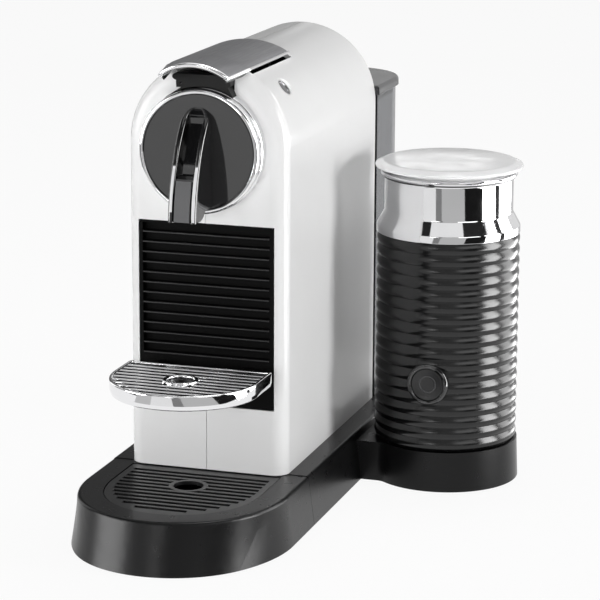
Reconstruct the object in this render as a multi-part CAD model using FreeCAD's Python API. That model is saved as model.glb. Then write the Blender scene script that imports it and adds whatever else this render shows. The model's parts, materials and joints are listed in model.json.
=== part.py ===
import FreeCAD, Part
import math
import os
from FreeCAD import Vector

# Pod coffee machine with a docked milk frother. Millimetres, +Z up.
# Modelled about the machine's centre plane (x = 0) with the flat front of the
# body at y = 0, then moved so that the origin is the middle of the footprint.

# Base
FOOT_H = 0.8
FOOT_R = 6.0
BASE_TOP = 30.6
BASE_HALF_W = 65.2
BASE_TAPER = 3.8
NOSE_REACH = 6.6
NOSE_LEAN = 5.0
NOSE_START_Y = -35.0
FLANK_SWELL = 24.8
SEAM_Y = 5.7
BASE_MARGIN = 2.6
BACK_CORNER_R = 25.0
BASE_WALL = 3.0
PLATE_T = 2.5
EDGE_ROUND = 2.0
RUNNER_X = 40.0
RUNNER_W = 6.0
RUNNER_LEN = 34.0
# Body shells
BODY_HALF_W = 48.8
BODY_DEPTH = 184.8
CREST_Z = 274.0
SHELL_WALL = 2.6
FRONT_ROUND = 9.0
REAR_ROUND = 1.2
SEAM_GAP = 0.3
# Head ring, disc and spout
RING_Z = 223.5
RING_R = 36.8
RING_PROUD = 13.4
RING_BAND = 6.4
RING_GROOVE = 1.1
DISC_R = 33.1
DISC_T = 4.0
DISC_SINK = 1.0
SPOUT_HALF_W = 8.5
SPOUT_TOP_Z = 249.5
SPOUT_BELLY_Y = -28.4
SPOUT_BELLY_Z = 229.8
SPOUT_ROUND = 2.5
SPOUT_TIP_Z = 187.5
SPOUT_ROOT_Z = 192.0
SPOUT_REACH = 41.4
SPOUT_BORE_R = 3.5
SPOUT_TAIL_R = 6.0
NOZZLE_DEPTH = 13.0
INSERT_HALF_W = 5.2
INSERT_TOP_Z = 211.0
INSERT_T = 0.8
INSERT_SINK = 0.7
CHANNEL_TOP_Z = 244.0
CHANNEL_DEPTH = 5.0
NOZZLE_H = 14.0
NOZZLE_STEP = 2.0
SPOUT_TAIL_REACH = 4.0
RING_STEP = 0.7
RING_GROOVE_DEPTH = 2.0
RING_ROUND = 1.0
DISC_BACKING = 4.0
# Lever
LEVER_HALF_ANGLE = 30.0
LEVER_LIFT = 1.0
LEVER_T = 1.6
INLAY_T = 0.6
INLAY_MARGIN = 1.6
LEVER_REAR_Y = 79.0
LEVER_FRONT_Y = -20.0
LEVER_FLARE_Y = 5.0
LIP_T = 2.6
LIP_DROP = 1.2
LIP_TIGHTER = 16.8
LIP_NARROWER = 3.4
LIP_DIP = 1.0
PIVOT_Y = 66.0
PIVOT_Z = 268.5
PIVOT_R = 1.6
LUG_R = 3.6
EAR_X = 8.0
EAR_T = 4.4
POST_T = 4.0
LEVER_OPEN = 80.0
CAGE_TRAVEL = 18.0
# Capsule deck and brew unit
DECK_T = 5.0
DECK_Z = 247.0
THROAT_HALF_W = 17.6
THROAT_Z = 258.5
THROAT_TOP_Z = 266.0
SLOT_HALF_W = 17.0
SLOT_Y0 = 14.0
SLOT_Y1 = 46.0
CAGE_R = 16.7
CAGE_BORE_R = 14.5
CAGE_LEN = 32.0
BREW_HALF_W = 22.0
BREW_END_Y = 76.0
# Shoulder buttons
BUTTON_ANGLE = 50.0
BUTTON_Y = 33.0
BUTTON_R = 5.0
BUTTON_DISH_R = 8.5
BUTTON_DISH = 0.9
BUTTON_TRAVEL = 1.2
BUTTON_FLANGE = 1.4
BUTTON_FLANGE_T = 1.6
GUIDE_WALL = 1.6
GUIDE_DEPTH = 6.0
GUIDE_SKIRT = 4.0
# Drawer: ribbed front, capsule bin and cup tray
GRILLE_SIDE = 7.4
GRILLE_Z0 = 70.2
GRILLE_Z1 = 179.0
GRILLE_T = 6.0
RIB_PITCH = 6.05
RIB_T = 1.1
RIB_COUNT = 14
RIB_DEPTH = 4.2
BIN_TOP_Z = 150.0
BIN_AIR = 1.5
BIN_WALL = 2.0
BAY_WALL = 2.5
TRAY_OVERHANG = 2.8
TRAY_TIP_Y = -79.0
TRAY_Z0 = 87.5
TRAY_Z1 = 96.5
TRAY_WALL = 2.2
TRAY_BACK_Y = -9.0
HINGE_Y = -13.5
HINGE_Z = 92.0
HINGE_R = 1.5
HINGE_EAR_X = 24.0
HINGE_EAR_T = 5.0
HINGE_KNUCKLE_T = 6.0
HINGE_LUG_R = 3.2
HINGE_SLOT_GAP = 0.6
GRID_T = 2.2
CUP_RING_R = 10.5
DRIP_RING_R = 11.5
DRIP_RING_Y = -31.6
GRID_PITCH = 6.2
GRID_SLOT = 3.6
GRID_BORDER = 4.0
DRIP_RIM = 15.1
DRIP_LEDGE = 3.0
DRIP_FLOOR = 3.0
# Water tank
TANK_STEP = 0.2
TANK_GAP = 2.7
TANK_DEPTH = 73.5
TANK_CORNER_R = 36.0
TANK_TOP_Z = 229.5
TANK_WALL = 2.2
LID_OVERHANG = 2.0
LID_T = 5.5
LID_ROUND = 2.4
SPIGOT_R = 5.0
SPIGOT_BORE_R = 2.5
SPIGOT_SETBACK = 14.5
VALVE_WALL = 3.0
SPIGOT_H = 8.0
# Milk frother
JUG_X = 110.0
JUG_Y = 136.5
DOCK_R = 46.0
DOCK_TAPER = 1.0
DOCK_TOP = 25.5
BRIDGE_Y0 = 103.0
BRIDGE_Y1 = 170.0
BRIDGE_BLEND = 9.0
SLEEVE_R = 44.3
SLEEVE_Z0 = 26.0
SLEEVE_Z1 = 156.0
SLEEVE_WALL = 3.0
SLEEVE_RIBS = 18
SLEEVE_GROOVE = 1.5
COLLAR_STEP_Z = 168.0
COLLAR_NECK_Z = 175.5
COLLAR_NECK_R = 39.6
COLLAR_TOP_Z = 190.0
COLLAR_WALL = 1.4
CUP_R = 37.4
CUP_WALL = 1.2
CUP_FLOOR_Z = 92.0
JUG_LID_R = 45.7
JUG_LID_Z0 = 192.0
JUG_LID_Z1 = 200.0
JUG_LID_T = 2.6
JUG_BUTTON_Z = 68.4
JUG_BUTTON_R = 10.0
JUG_BEZEL_R = 12.8
JUG_BUTTON_PROUD = 1.6
JUG_BUTTON_LEN = 8.0
JUG_BUTTON_TRAVEL = 1.2
MOTOR_R = 16.0
MOTOR_Z0 = 46.0
MOTOR_Z1 = 80.0
MAGNET_R = 13.0
MAGNET_T = 5.0
SHAFT_R = 1.6
WHISK_R = 17.0
WHISK_WIRE_R = 1.4
WHISK_POST_R = 3.0
WHISK_POST_H = 14.0
PLUG_R = 12.0
PLUG_H = 5.0
SOCKET_WALL = 3.0
SOCKET_AIR = 2.0
SOCKET_ROOF = 3.0
# Inner works
PUMP_R = 17.0
PUMP_LEN = 44.0
PUMP_Z = 62.0
HEATER_HALF_W = 26.0
HEATER_DEPTH = 42.0
HEATER_H = 38.0
SHELF_Z = 176.0
SHELF_T = 2.5
BOARD_T = 1.6
HOSE_R = 2.6
GLAND_X = -42.0
GLAND_Z = 15.0
GLAND_R = 7.0
GLAND_BORE_R = 3.6
SCREW_R = 1.6
SCREW_HEAD_R = 3.2
SCREW_HEAD_T = 1.6
SCREW_LEN = 14.0
BOSS_R = 4.2
BOSS_INSET = 4.0
BOSS_SETBACK = 8.0
HEATER_SETBACK = 4.0
HEATER_ROUND = 4.0
BOARD_EDGE = 2.0
BOARD_AIR = 10.0
PUMP_STUB = 5.0
MOUNT_T = 6.0
HOSE_AIR = 1.05
METER_R = 10.0
METER_H = 14.0
METER_STUB = 8.0
METER_AIR = 2.0
# Clearances
SLIDE_GAP = 0.4
FIT_GAP = 0.2
SEAT_GAP = 0.3
PIN_GAP = 0.05

ARCH_Z = CREST_Z - BODY_HALF_W
INNER_R = BODY_HALF_W - SHELL_WALL
BASE_TOP_HALF_W = BASE_HALF_W - BASE_TAPER
NOSE_TIP_Y = NOSE_START_Y - BASE_HALF_W - NOSE_REACH
FLANK_R = BASE_HALF_W + FLANK_SWELL
LEVER_R = BODY_HALF_W + LEVER_LIFT
GRILLE_HALF_W = BODY_HALF_W - GRILLE_SIDE
TRAY_HALF_W = GRILLE_HALF_W + TRAY_OVERHANG
REAR_COVER_Y = BODY_DEPTH - REAR_ROUND - SHELL_WALL
WORKS_DEPTH = PUMP_LEN + 2 * (PUMP_STUB + 2 * HOSE_R + HOSE_AIR)
WORKS_Y = REAR_COVER_Y - WORKS_DEPTH
HEATER_MID_Y = WORKS_Y + HEATER_SETBACK + HEATER_DEPTH / 2
BAY_DEPTH = WORKS_Y - BAY_WALL
BIN_DEPTH = BAY_DEPTH - BAY_WALL - GRILLE_T - BIN_AIR
TANK_HALF_W = BODY_HALF_W + TANK_STEP
TANK_FRONT_Y = BODY_DEPTH + TANK_GAP
TANK_BACK_Y = TANK_FRONT_Y + TANK_DEPTH
BACK_Y = TANK_BACK_Y + BASE_MARGIN
SPIGOT_Y = TANK_FRONT_Y + SPIGOT_SETBACK
VALVE_R = SPIGOT_R + VALVE_WALL
LIP_R = LEVER_R - LIP_TIGHTER
LIP_HALF_W = LEVER_R * math.sin(math.radians(LEVER_HALF_ANGLE)) - LIP_NARROWER
LIP_TOP_Z = ARCH_Z + LEVER_R + LEVER_T - LIP_DIP
LIP_HALF_ANGLE = math.degrees(math.asin(LIP_HALF_W / LIP_R))
LIP_MID_Z = LIP_TOP_Z - LIP_R
JUG = Vector(JUG_X, JUG_Y, 0)
X_AXIS = Vector(1, 0, 0)
Y_AXIS = Vector(0, 1, 0)
Z_AXIS = Vector(0, 0, 1)


def box(x0, x1, y0, y1, z0, z1):
    """A block between two corners."""
    return Part.makeBox(x1 - x0, y1 - y0, z1 - z0, Vector(x0, y0, z0))


def rod(start, axis, radius, length):
    """A round bar from a point along an axis."""
    return Part.makeCylinder(radius, length, start, axis)


def tube(start, axis, outer, inner, length):
    """A round tube from a point along an axis."""
    return rod(start, axis, outer, length).cut(rod(start, axis, inner, length))


def mirror_x(shape):
    """The same shape on the other side of the centre plane."""
    return shape.mirror(Vector(0, 0, 0), X_AXIS)


def both_sides(shape):
    """A shape and its mirror image as two separate solids."""
    return Part.makeCompound([shape, mirror_x(shape)])


def fuse_all(first, *others):
    """One solid from touching or overlapping shapes."""
    return first.multiFuse(list(others)).removeSplitter()


def prism(wire, direction):
    """A solid swept from a closed flat wire."""
    return Part.Face(wire).extrude(direction)


def polygon(points):
    """A closed flat wire through points."""
    return Part.makePolygon(list(points) + [points[0]])


def turned(profile, centre, axis):
    """A solid of revolution about an axis through a point."""
    return Part.Face(profile).revolve(centre, axis, 360)


def arc3(a, b, c):
    """An edge along the circle through three points."""
    return Part.Arc(a, b, c).toShape()


def nose_outline(inset, back_y, z, tip_y=NOSE_TIP_Y):
    """Plan outline of the round-nosed base front, offset inwards by inset.

    Two flank arcs and one nose arc meet tangent to each other and to the
    straight sides.
    """
    flank_x = FLANK_R - BASE_HALF_W
    span = FLANK_R - (NOSE_START_Y - tip_y)
    drop = (span ** 2 - flank_x ** 2) / (2 * span)
    reach = math.hypot(flank_x, drop)
    radius = FLANK_R - inset
    turn = math.atan2(drop, flank_x)
    half_w = BASE_HALF_W - inset

    def flank(angle):
        return Vector(radius * math.cos(angle) - flank_x, NOSE_START_Y + radius * math.sin(angle), z)

    right = [flank(0), flank(turn / 2), flank(turn)]
    left = [Vector(-p.x, p.y, z) for p in reversed(right)]
    tip = Vector(0, NOSE_START_Y + drop - (FLANK_R - reach) + inset, z)
    back_right = Vector(half_w, back_y, z)
    back_left = Vector(-half_w, back_y, z)
    edges = [Part.makeLine(back_right, right[0]), arc3(*right), arc3(right[2], tip, left[0]),
             arc3(*left), Part.makeLine(left[2], back_left), Part.makeLine(back_left, back_right)]
    return Part.Wire(edges)


def round_back_outline(half_w, front_y, back_y, radius, z):
    """Plan outline with a straight front and two rounded back corners."""
    bend = radius * (1 - math.sqrt(0.5))
    a = Vector(half_w, front_y, z)
    b = Vector(half_w, back_y - radius, z)
    c = Vector(half_w - radius, back_y, z)
    mid = Vector(half_w - bend, back_y - bend, z)
    flip = lambda p: Vector(-p.x, p.y, z)
    edges = [Part.makeLine(a, b), arc3(b, mid, c), Part.makeLine(c, flip(c)),
             arc3(flip(c), flip(mid), flip(b)), Part.makeLine(flip(b), flip(a)), Part.makeLine(flip(a), a)]
    return Part.Wire(edges)


def arch_outline(radius, floor_z, y):
    """Front outline of the body: straight sides under a half-round top."""
    a = Vector(radius, y, floor_z)
    b = Vector(radius, y, ARCH_Z)
    top = Vector(0, y, ARCH_Z + radius)
    c = Vector(-radius, y, ARCH_Z)
    d = Vector(-radius, y, floor_z)
    return Part.Wire([Part.makeLine(a, b), arc3(b, top, c), Part.makeLine(c, d), Part.makeLine(d, a)])


def d_outline(half_w, back_y, tip_y, z):
    """D-shaped plan outline: straight back, short sides and a round front."""
    front_y = tip_y + half_w
    a = Vector(half_w, back_y, z)
    b = Vector(half_w, front_y, z)
    tip = Vector(0, tip_y, z)
    flip = lambda p: Vector(-p.x, p.y, z)
    return Part.Wire([Part.makeLine(a, b), arc3(b, tip, flip(b)), Part.makeLine(flip(b), flip(a)),
                      Part.makeLine(flip(a), a)])


def edges_where(shape, test):
    """The edges of a shape that pass a test on both ends and the middle."""
    found = []
    for edge in shape.Edges:
        middle = edge.valueAt((edge.FirstParameter + edge.LastParameter) / 2)
        points = [v.Point for v in edge.Vertexes] + [middle]
        if all(test(p) for p in points):
            found.append(edge)
    return found


# Base

def tapered_nose(inset, back_y, z0, z1):
    """The nose's solid between two heights, sides leaning in with height."""
    def at(z):
        lean = BASE_TAPER * (z - FOOT_H) / (BASE_TOP - FOOT_H)
        tip_y = NOSE_TIP_Y - NOSE_LEAN * (1 - lean / BASE_TAPER)
        return nose_outline(inset + lean, back_y, z, tip_y)
    return Part.makeLoft([at(z0), at(z1)], True, True)


def tapered_rear(inset, front_y, back_y, z0, z1):
    """The rear base's solid between two heights, sides leaning in."""
    def at(z):
        lean = inset + BASE_TAPER * (z - FOOT_H) / (BASE_TOP - FOOT_H)
        return round_back_outline(BASE_HALF_W - lean, front_y, back_y - lean, BACK_CORNER_R - lean, z)
    return Part.makeLoft([at(z0), at(z1)], True, True)


NOSE_TOP = BASE_TOP - SLIDE_GAP
GRID_INSET = BASE_TAPER + DRIP_RIM
GRID_BACK_Y = -2 * SEAT_GAP
GRID_SEAT_Z = NOSE_TOP - GRID_T - SEAT_GAP


def drip_base():
    """The round-nosed drip base: a bowl with a seat for its grid and two runners."""
    body = tapered_nose(0, SEAM_Y, FOOT_H, NOSE_TOP)
    rim = edges_where(body, lambda p: p.z > NOSE_TOP - 0.01 and p.y < SEAM_Y - 0.01)
    rim += [e for e in edges_where(body, lambda p: p.z > NOSE_TOP - 0.01)
            if max(v.Y for v in e.Vertexes) > SEAM_Y - 0.01 and min(v.Y for v in e.Vertexes) < SEAM_Y - 1]
    body = body.makeFillet(EDGE_ROUND, rim)
    seat = prism(nose_outline(GRID_INSET - SEAT_GAP, GRID_BACK_Y + SEAT_GAP, GRID_SEAT_Z),
                 Vector(0, 0, GRID_T * 2))
    bowl = prism(nose_outline(GRID_INSET + DRIP_LEDGE, GRID_BACK_Y - DRIP_LEDGE, FOOT_H + DRIP_FLOOR),
                 Vector(0, 0, BASE_TOP))
    body = body.cut(seat).cut(bowl)
    low = FOOT_H + PLATE_T + SEAT_GAP
    runner = box(RUNNER_X, RUNNER_X + RUNNER_W, SEAM_Y - 1, SEAM_Y + RUNNER_LEN, low, low + RUNNER_W)
    return fuse_all(body, runner, mirror_x(runner))


def slot_rows(x_half_at, y0, y1, pitch, slot, z0, z1):
    """Slots running left to right, as wide as the outline lets them be."""
    rows = []
    count = int((y1 - y0) / pitch)
    first = y0 + ((y1 - y0) - (count - 1) * pitch) / 2
    for row in range(count):
        y = first + row * pitch
        half = min(x_half_at(y - slot / 2), x_half_at(y + slot / 2))
        if half > slot:
            rows.append(box(-half, half, y - slot / 2, y + slot / 2, z0, z1))
    return rows


def slotted(plate, ring_centre, ring_r, rows, z0, height):
    """A plate cut by rows of slots, with a round finger ring left in the middle."""
    grid = plate.cut(Part.makeCompound(rows))
    bar_w = GRID_PITCH - GRID_SLOT
    ring = tube(Vector(ring_centre.x, ring_centre.y, z0), Z_AXIS, ring_r, ring_r - bar_w, height)
    hole = rod(Vector(ring_centre.x, ring_centre.y, z0), Z_AXIS, ring_r - bar_w, height)
    return fuse_all(grid.cut(hole), ring)


def drip_grid():
    """The black slotted grid that lies in the drip base."""
    inset = GRID_INSET + SEAT_GAP
    plate = prism(nose_outline(inset, GRID_BACK_Y, GRID_SEAT_Z), Vector(0, 0, GRID_T))
    front_y = NOSE_TIP_Y + inset + GRID_BORDER
    half_w = BASE_HALF_W - inset - GRID_BORDER

    def half_at(y):
        if y > NOSE_START_Y:
            return half_w
        drop = (NOSE_START_Y - y) / (NOSE_START_Y - front_y)
        return half_w * math.sqrt(max(0.0, 1 - drop ** 2))

    rows = slot_rows(half_at, front_y, GRID_BACK_Y - GRID_BORDER, GRID_PITCH, GRID_SLOT,
                     GRID_SEAT_Z - 1, GRID_SEAT_Z + GRID_T + 1)
    return slotted(plate, Vector(0, DRIP_RING_Y, 0), DRIP_RING_R, rows, GRID_SEAT_Z, GRID_T)


CHASSIS_FRONT_Y = SEAM_Y + SEAT_GAP
SCREW_X = BASE_HALF_W - BASE_WALL - BASE_TAPER - BOSS_R - BOSS_INSET
SCREW_Y0 = SEAM_Y + RUNNER_LEN + BOSS_R + BOSS_SETBACK
SCREW_Y1 = BACK_Y - BACK_CORNER_R
SCREW_SPOTS = [(x, y) for x in (-SCREW_X, SCREW_X) for y in (SCREW_Y0, SCREW_Y1)]


def base_chassis():
    """The hollow rear base that carries the body, the tank and the frother dock."""
    body = tapered_rear(0, CHASSIS_FRONT_Y, BACK_Y, FOOT_H, BASE_TOP)
    rim = [e for e in edges_where(body, lambda p: p.z > BASE_TOP - 0.01)
           if max(v.Y for v in e.Vertexes) > CHASSIS_FRONT_Y + 1]
    body = body.makeFillet(EDGE_ROUND, rim)
    hollow = tapered_rear(BASE_WALL, CHASSIS_FRONT_Y - 1, BACK_Y, FOOT_H, BASE_TOP - BASE_WALL)
    body = body.cut(hollow)
    for x, y in SCREW_SPOTS:
        boss = rod(Vector(x, y, FOOT_H + PLATE_T), Z_AXIS, BOSS_R, BASE_TOP - BASE_WALL / 2 - FOOT_H - PLATE_T)
        body = body.fuse(boss)
        body = body.cut(rod(Vector(x, y, FOOT_H), Z_AXIS, SCREW_R, SCREW_LEN))
    body = body.cut(rod(Vector(0, SPIGOT_Y, 0), Z_AXIS, SPIGOT_R, BASE_TOP + 1))
    body = body.cut(rod(Vector(METER.x, METER.y, FOOT_H), Z_AXIS, HOSE_R + FIT_GAP, BASE_TOP))
    body = body.cut(rod(Vector(GLAND_X, BACK_Y - 2 * BASE_TAPER - BASE_WALL, GLAND_Z), Y_AXIS,
                        GLAND_R, 4 * BASE_TAPER))
    return body.removeSplitter()


def base_plate():
    """The flat bottom cover inside the rear base's skirt."""
    plate = tapered_rear(BASE_WALL + FIT_GAP, CHASSIS_FRONT_Y, BACK_Y, FOOT_H, FOOT_H + PLATE_T)
    for x, y in SCREW_SPOTS:
        plate = plate.cut(rod(Vector(x, y, FOOT_H), Z_AXIS, SCREW_R + FIT_GAP, PLATE_T))
        plate = plate.cut(rod(Vector(x, y, FOOT_H), Z_AXIS, SCREW_HEAD_R + FIT_GAP, SCREW_HEAD_T))
    return plate


def base_screws():
    """Four screws holding the bottom cover to the rear base."""
    def screw(x, y):
        shank = rod(Vector(x, y, FOOT_H + SCREW_HEAD_T), Z_AXIS, SCREW_R, SCREW_LEN - SCREW_HEAD_T)
        head = rod(Vector(x, y, FOOT_H), Z_AXIS, SCREW_HEAD_R, SCREW_HEAD_T)
        return fuse_all(shank, head)
    return Part.makeCompound([screw(x, y) for x, y in SCREW_SPOTS])


def rubber_feet():
    """Round rubber feet under the bottom covers."""
    spread = SCREW_X - SCREW_HEAD_R - FOOT_R - 2
    spots = [(x, y) for x in (-spread, spread) for y in (CHASSIS_FRONT_Y + FOOT_R + 4, SCREW_Y1)]
    spots += [(JUG_X + DOCK_R / 2, JUG_Y - DOCK_R / 2), (JUG_X + DOCK_R / 2, JUG_Y + DOCK_R / 2)]
    return Part.makeCompound([rod(Vector(x, y, 0), Z_AXIS, FOOT_R, FOOT_H) for x, y in spots])


def cord_gland():
    """The moulded gland in the back of the base where a mains cord would enter."""
    start = BACK_Y - 2 * BASE_TAPER - BASE_WALL
    lean = BASE_TAPER * (GLAND_Z - FOOT_H) / (BASE_TOP - FOOT_H)
    end = BACK_Y - lean + 1
    neck = rod(Vector(GLAND_X, start, GLAND_Z), Y_AXIS, GLAND_R, end - start)
    return neck.cut(rod(Vector(GLAND_X, start, GLAND_Z), Y_AXIS, GLAND_BORE_R, end - start))


# Body

def lever_opening():
    """The space cut in the shells' top under the lever, and the finger throat."""
    half_w = LEVER_R * math.sin(math.radians(LEVER_HALF_ANGLE)) + 2 * SLIDE_GAP
    well = box(-half_w, half_w, FRONT_ROUND, LEVER_REAR_Y + 2.2, DECK_Z, CREST_Z + 5)
    throat = box(-THROAT_HALF_W - FIT_GAP, THROAT_HALF_W + FIT_GAP, -1, FRONT_ROUND + 1,
                 THROAT_Z - FIT_GAP, CREST_Z + 5)
    return well.fuse(throat)


def button_normal(side):
    """The outward direction of a shoulder button on the arch."""
    angle = math.radians(BUTTON_ANGLE)
    return Vector(side * math.sin(angle), 0, math.cos(angle))


def on_shoulder(side, radius):
    """The point at a shoulder button's axis, at a radius from the arch's centre."""
    return Vector(0, BUTTON_Y, ARCH_Z) + button_normal(side) * radius


def full_shell():
    """Both halves of the white casing as one hollow arch, with every opening cut."""
    outer = prism(arch_outline(BODY_HALF_W, BASE_TOP, 0), Vector(0, BODY_DEPTH, 0))
    front = edges_where(outer, lambda p: p.y < 0.01)
    front = [e for e in front if max(v.Z for v in e.Vertexes) > BASE_TOP + 1]
    outer = outer.makeFillet(FRONT_ROUND, front)
    rear = edges_where(outer, lambda p: p.y > BODY_DEPTH - 0.01)
    rear = [e for e in rear if max(v.Z for v in e.Vertexes) > BASE_TOP + 1]
    outer = outer.makeFillet(REAR_ROUND, rear)
    inner = prism(arch_outline(INNER_R, BASE_TOP - 1, SHELL_WALL), Vector(0, BODY_DEPTH, 0))
    front = edges_where(inner, lambda p: p.y < SHELL_WALL + 0.01)
    front = [e for e in front if max(v.Z for v in e.Vertexes) > BASE_TOP]
    inner = inner.makeFillet(FRONT_ROUND - SHELL_WALL, front)
    mouth = box(-GRILLE_HALF_W - SLIDE_GAP, GRILLE_HALF_W + SLIDE_GAP, -1, FRONT_ROUND,
                GRILLE_Z0 - SLIDE_GAP, GRILLE_Z1 + SLIDE_GAP)
    head = rod(Vector(0, -1, RING_Z), Y_AXIS, BREW_HALF_W, FRONT_ROUND)
    shell = outer.cut(inner).cut(mouth).cut(head).cut(lever_opening())
    for side in (-1, 1):
        out = button_normal(side)
        shell = shell.cut(rod(on_shoulder(side, INNER_R - 3), out, BUTTON_R + FIT_GAP, 3 * SHELL_WALL))
        dish_r = BUTTON_DISH_R ** 2 / (2 * BUTTON_DISH)
        shell = shell.cut(Part.makeSphere(dish_r, on_shoulder(side, BODY_HALF_W - BUTTON_DISH + dish_r)))
    return shell


def half_shell(shell, side):
    """One half of the casing, split along the centre plane."""
    far = BODY_HALF_W + 5
    near = SEAM_GAP / 2
    keep = box(near, far, -5, BODY_DEPTH + 5, 0, CREST_Z + 5)
    if side < 0:
        keep = mirror_x(keep)
    return shell.common(keep)



def rear_cover():
    """The flat cover that closes the back of the body behind the tank."""
    plate = prism(arch_outline(INNER_R - FIT_GAP, BASE_TOP, REAR_COVER_Y), Vector(0, SHELL_WALL, 0))
    return plate


# Head

def head_ring():
    """The bright two-band ring round the head disc."""
    bore = DISC_R + FIT_GAP
    front_r = RING_R - RING_STEP
    groove_r = RING_R - RING_GROOVE_DEPTH
    step = -RING_BAND
    groove = step - RING_GROOVE
    points = [(bore, 0), (RING_R, 0), (RING_R, step), (groove_r, step), (groove_r, groove),
              (front_r, groove), (front_r, -RING_PROUD), (bore, -RING_PROUD)]
    wire = polygon([Vector(r, y, RING_Z) for r, y in points])
    ring = turned(wire, Vector(0, 0, RING_Z), Y_AXIS)
    rims = edges_where(ring, lambda p: p.y < 0.01 - RING_PROUD)
    rims += [e for e in edges_where(ring, lambda p: abs(p.y - step) < 0.01)
             if math.hypot(e.Vertexes[0].X, e.Vertexes[0].Z - RING_Z) > RING_R - 0.1]
    return ring.makeFillet(RING_ROUND, rims)


DISC_FRONT_Y = -RING_PROUD + DISC_SINK
SPOUT_TAIL_END = SHELL_WALL + SPOUT_TAIL_REACH


def head_disc():
    """The dark disc inside the ring, with the hole for the spout's tail."""
    disc = rod(Vector(0, DISC_FRONT_Y, RING_Z), Y_AXIS, DISC_R, DISC_T)
    backing = tube(Vector(0, DISC_FRONT_Y + DISC_T, RING_Z), Y_AXIS, DISC_R, DISC_R - DISC_BACKING,
                   -DISC_FRONT_Y - DISC_T)
    disc = fuse_all(disc, backing)
    return disc.cut(rod(Vector(0, DISC_FRONT_Y - 1, RING_Z), Y_AXIS, SPOUT_TAIL_R, DISC_T + 2))


def spout_blank(shift):
    """The spout's beak without its bores, moved back by shift."""
    y = lambda value: value + shift
    root = DISC_FRONT_Y
    a = Vector(-SPOUT_HALF_W, y(root), SPOUT_ROOT_Z)
    b = Vector(-SPOUT_HALF_W, y(root), SPOUT_TOP_Z)
    middle = Vector(-SPOUT_HALF_W, y(SPOUT_BELLY_Y), SPOUT_BELLY_Z)
    c = Vector(-SPOUT_HALF_W, y(-SPOUT_REACH), SPOUT_TIP_Z)
    d = Vector(-SPOUT_HALF_W, y(-SPOUT_REACH + NOZZLE_DEPTH), SPOUT_TIP_Z)
    e = Vector(-SPOUT_HALF_W, y(-SPOUT_REACH + NOZZLE_DEPTH + NOZZLE_STEP), SPOUT_ROOT_Z)
    edges = [Part.makeLine(a, b), arc3(b, middle, c), Part.makeLine(c, d), Part.makeLine(d, e),
             Part.makeLine(e, a)]
    return prism(Part.Wire(edges), Vector(2 * SPOUT_HALF_W, 0, 0))


def front_region(low, high, gap):
    """The block of space over part of the spout's front, between two heights."""
    half = INSERT_HALF_W - gap
    return box(-half, half, -2 * SPOUT_REACH, DISC_FRONT_Y - 1, low + gap, high - gap)


def round_topped(half, low, high):
    """A bar of space along y with a half-round top, over the spout's front."""
    start = -2 * SPOUT_REACH
    bar = box(-half, half, start, DISC_FRONT_Y, low, high - half)
    return bar.fuse(rod(Vector(0, start, high - half), Y_AXIS, half, DISC_FRONT_Y - start))


def spout():
    """The glossy coffee spout: two ridges beside a channel, a nozzle and a tail."""
    blank = spout_blank(0)
    front = [e for e in blank.Edges if e.Curve.TypeId == "Part::GeomCircle"]
    blank = blank.makeFillet(SPOUT_ROUND, front)
    pocket = front_region(SPOUT_TIP_Z, INSERT_TOP_Z, 0).cut(spout_blank(INSERT_SINK + INSERT_T))
    blank = blank.common(round_topped(SPOUT_HALF_W, SPOUT_TIP_Z, SPOUT_TOP_Z))
    channel = round_topped(INSERT_HALF_W, INSERT_TOP_Z, CHANNEL_TOP_Z).cut(spout_blank(CHANNEL_DEPTH))
    body = blank.cut(pocket).cut(channel)
    tail = rod(Vector(0, DISC_FRONT_Y - 1, RING_Z), Y_AXIS, SPOUT_TAIL_R, SPOUT_TAIL_END - DISC_FRONT_Y + 1)
    body = body.fuse(tail)
    mouth = Vector(0, -SPOUT_REACH + NOZZLE_DEPTH / 2 + INSERT_SINK + INSERT_T, SPOUT_TIP_Z)
    knee = mouth + Vector(0, 0, NOZZLE_H)
    root = Vector(0, DISC_FRONT_Y, RING_Z)
    slope = root - knee
    for start, way in ((mouth, knee - mouth), (knee, slope), (root, Vector(0, SPOUT_TAIL_END - root.y, 0))):
        body = body.cut(rod(start, way, SPOUT_BORE_R, way.Length))
    return body.removeSplitter()


def spout_insert():
    """The grey strip sunk into the lower front of the spout."""
    strip = front_region(SPOUT_TIP_Z, INSERT_TOP_Z, FIT_GAP).common(spout_blank(INSERT_SINK))
    return strip.cut(spout_blank(INSERT_SINK + INSERT_T))


# Lever

def arch_sector(inner, outer, half_angle, y, middle_z=ARCH_Z):
    """A closed band of an arch between two radii, as a flat wire at y."""
    def at(radius, degrees):
        angle = math.radians(degrees)
        return Vector(radius * math.sin(angle), y, middle_z + radius * math.cos(angle))
    top = arc3(at(outer, -half_angle), at(outer, 0), at(outer, half_angle))
    low = arc3(at(inner, half_angle), at(inner, 0), at(inner, -half_angle))
    return Part.Wire([top, Part.makeLine(at(outer, half_angle), at(inner, half_angle)), low,
                      Part.makeLine(at(inner, -half_angle), at(outer, -half_angle))])


def lever_slab(low, high, margin, rear_y):
    """A plate between two heights over the lever's underside: it follows the arch, then
    narrows and droops at its corners towards the lip."""
    rear_half = LEVER_HALF_ANGLE - math.degrees(margin / LEVER_R)
    lip_half = LIP_HALF_ANGLE - math.degrees(margin / LIP_R)
    under = LIP_R - LEVER_T
    rear = arch_sector(LEVER_R + low, LEVER_R + high, rear_half, rear_y)
    knee = arch_sector(LEVER_R + low, LEVER_R + high, rear_half, LEVER_FLARE_Y)
    lip = arch_sector(under + low, under + high, lip_half, LEVER_FRONT_Y, LIP_MID_Z)
    flat = Part.Face(rear).extrude(Vector(0, LEVER_FLARE_Y - rear_y, 0))
    return fuse_all(flat, Part.makeLoft([knee, lip], True, True))


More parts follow.
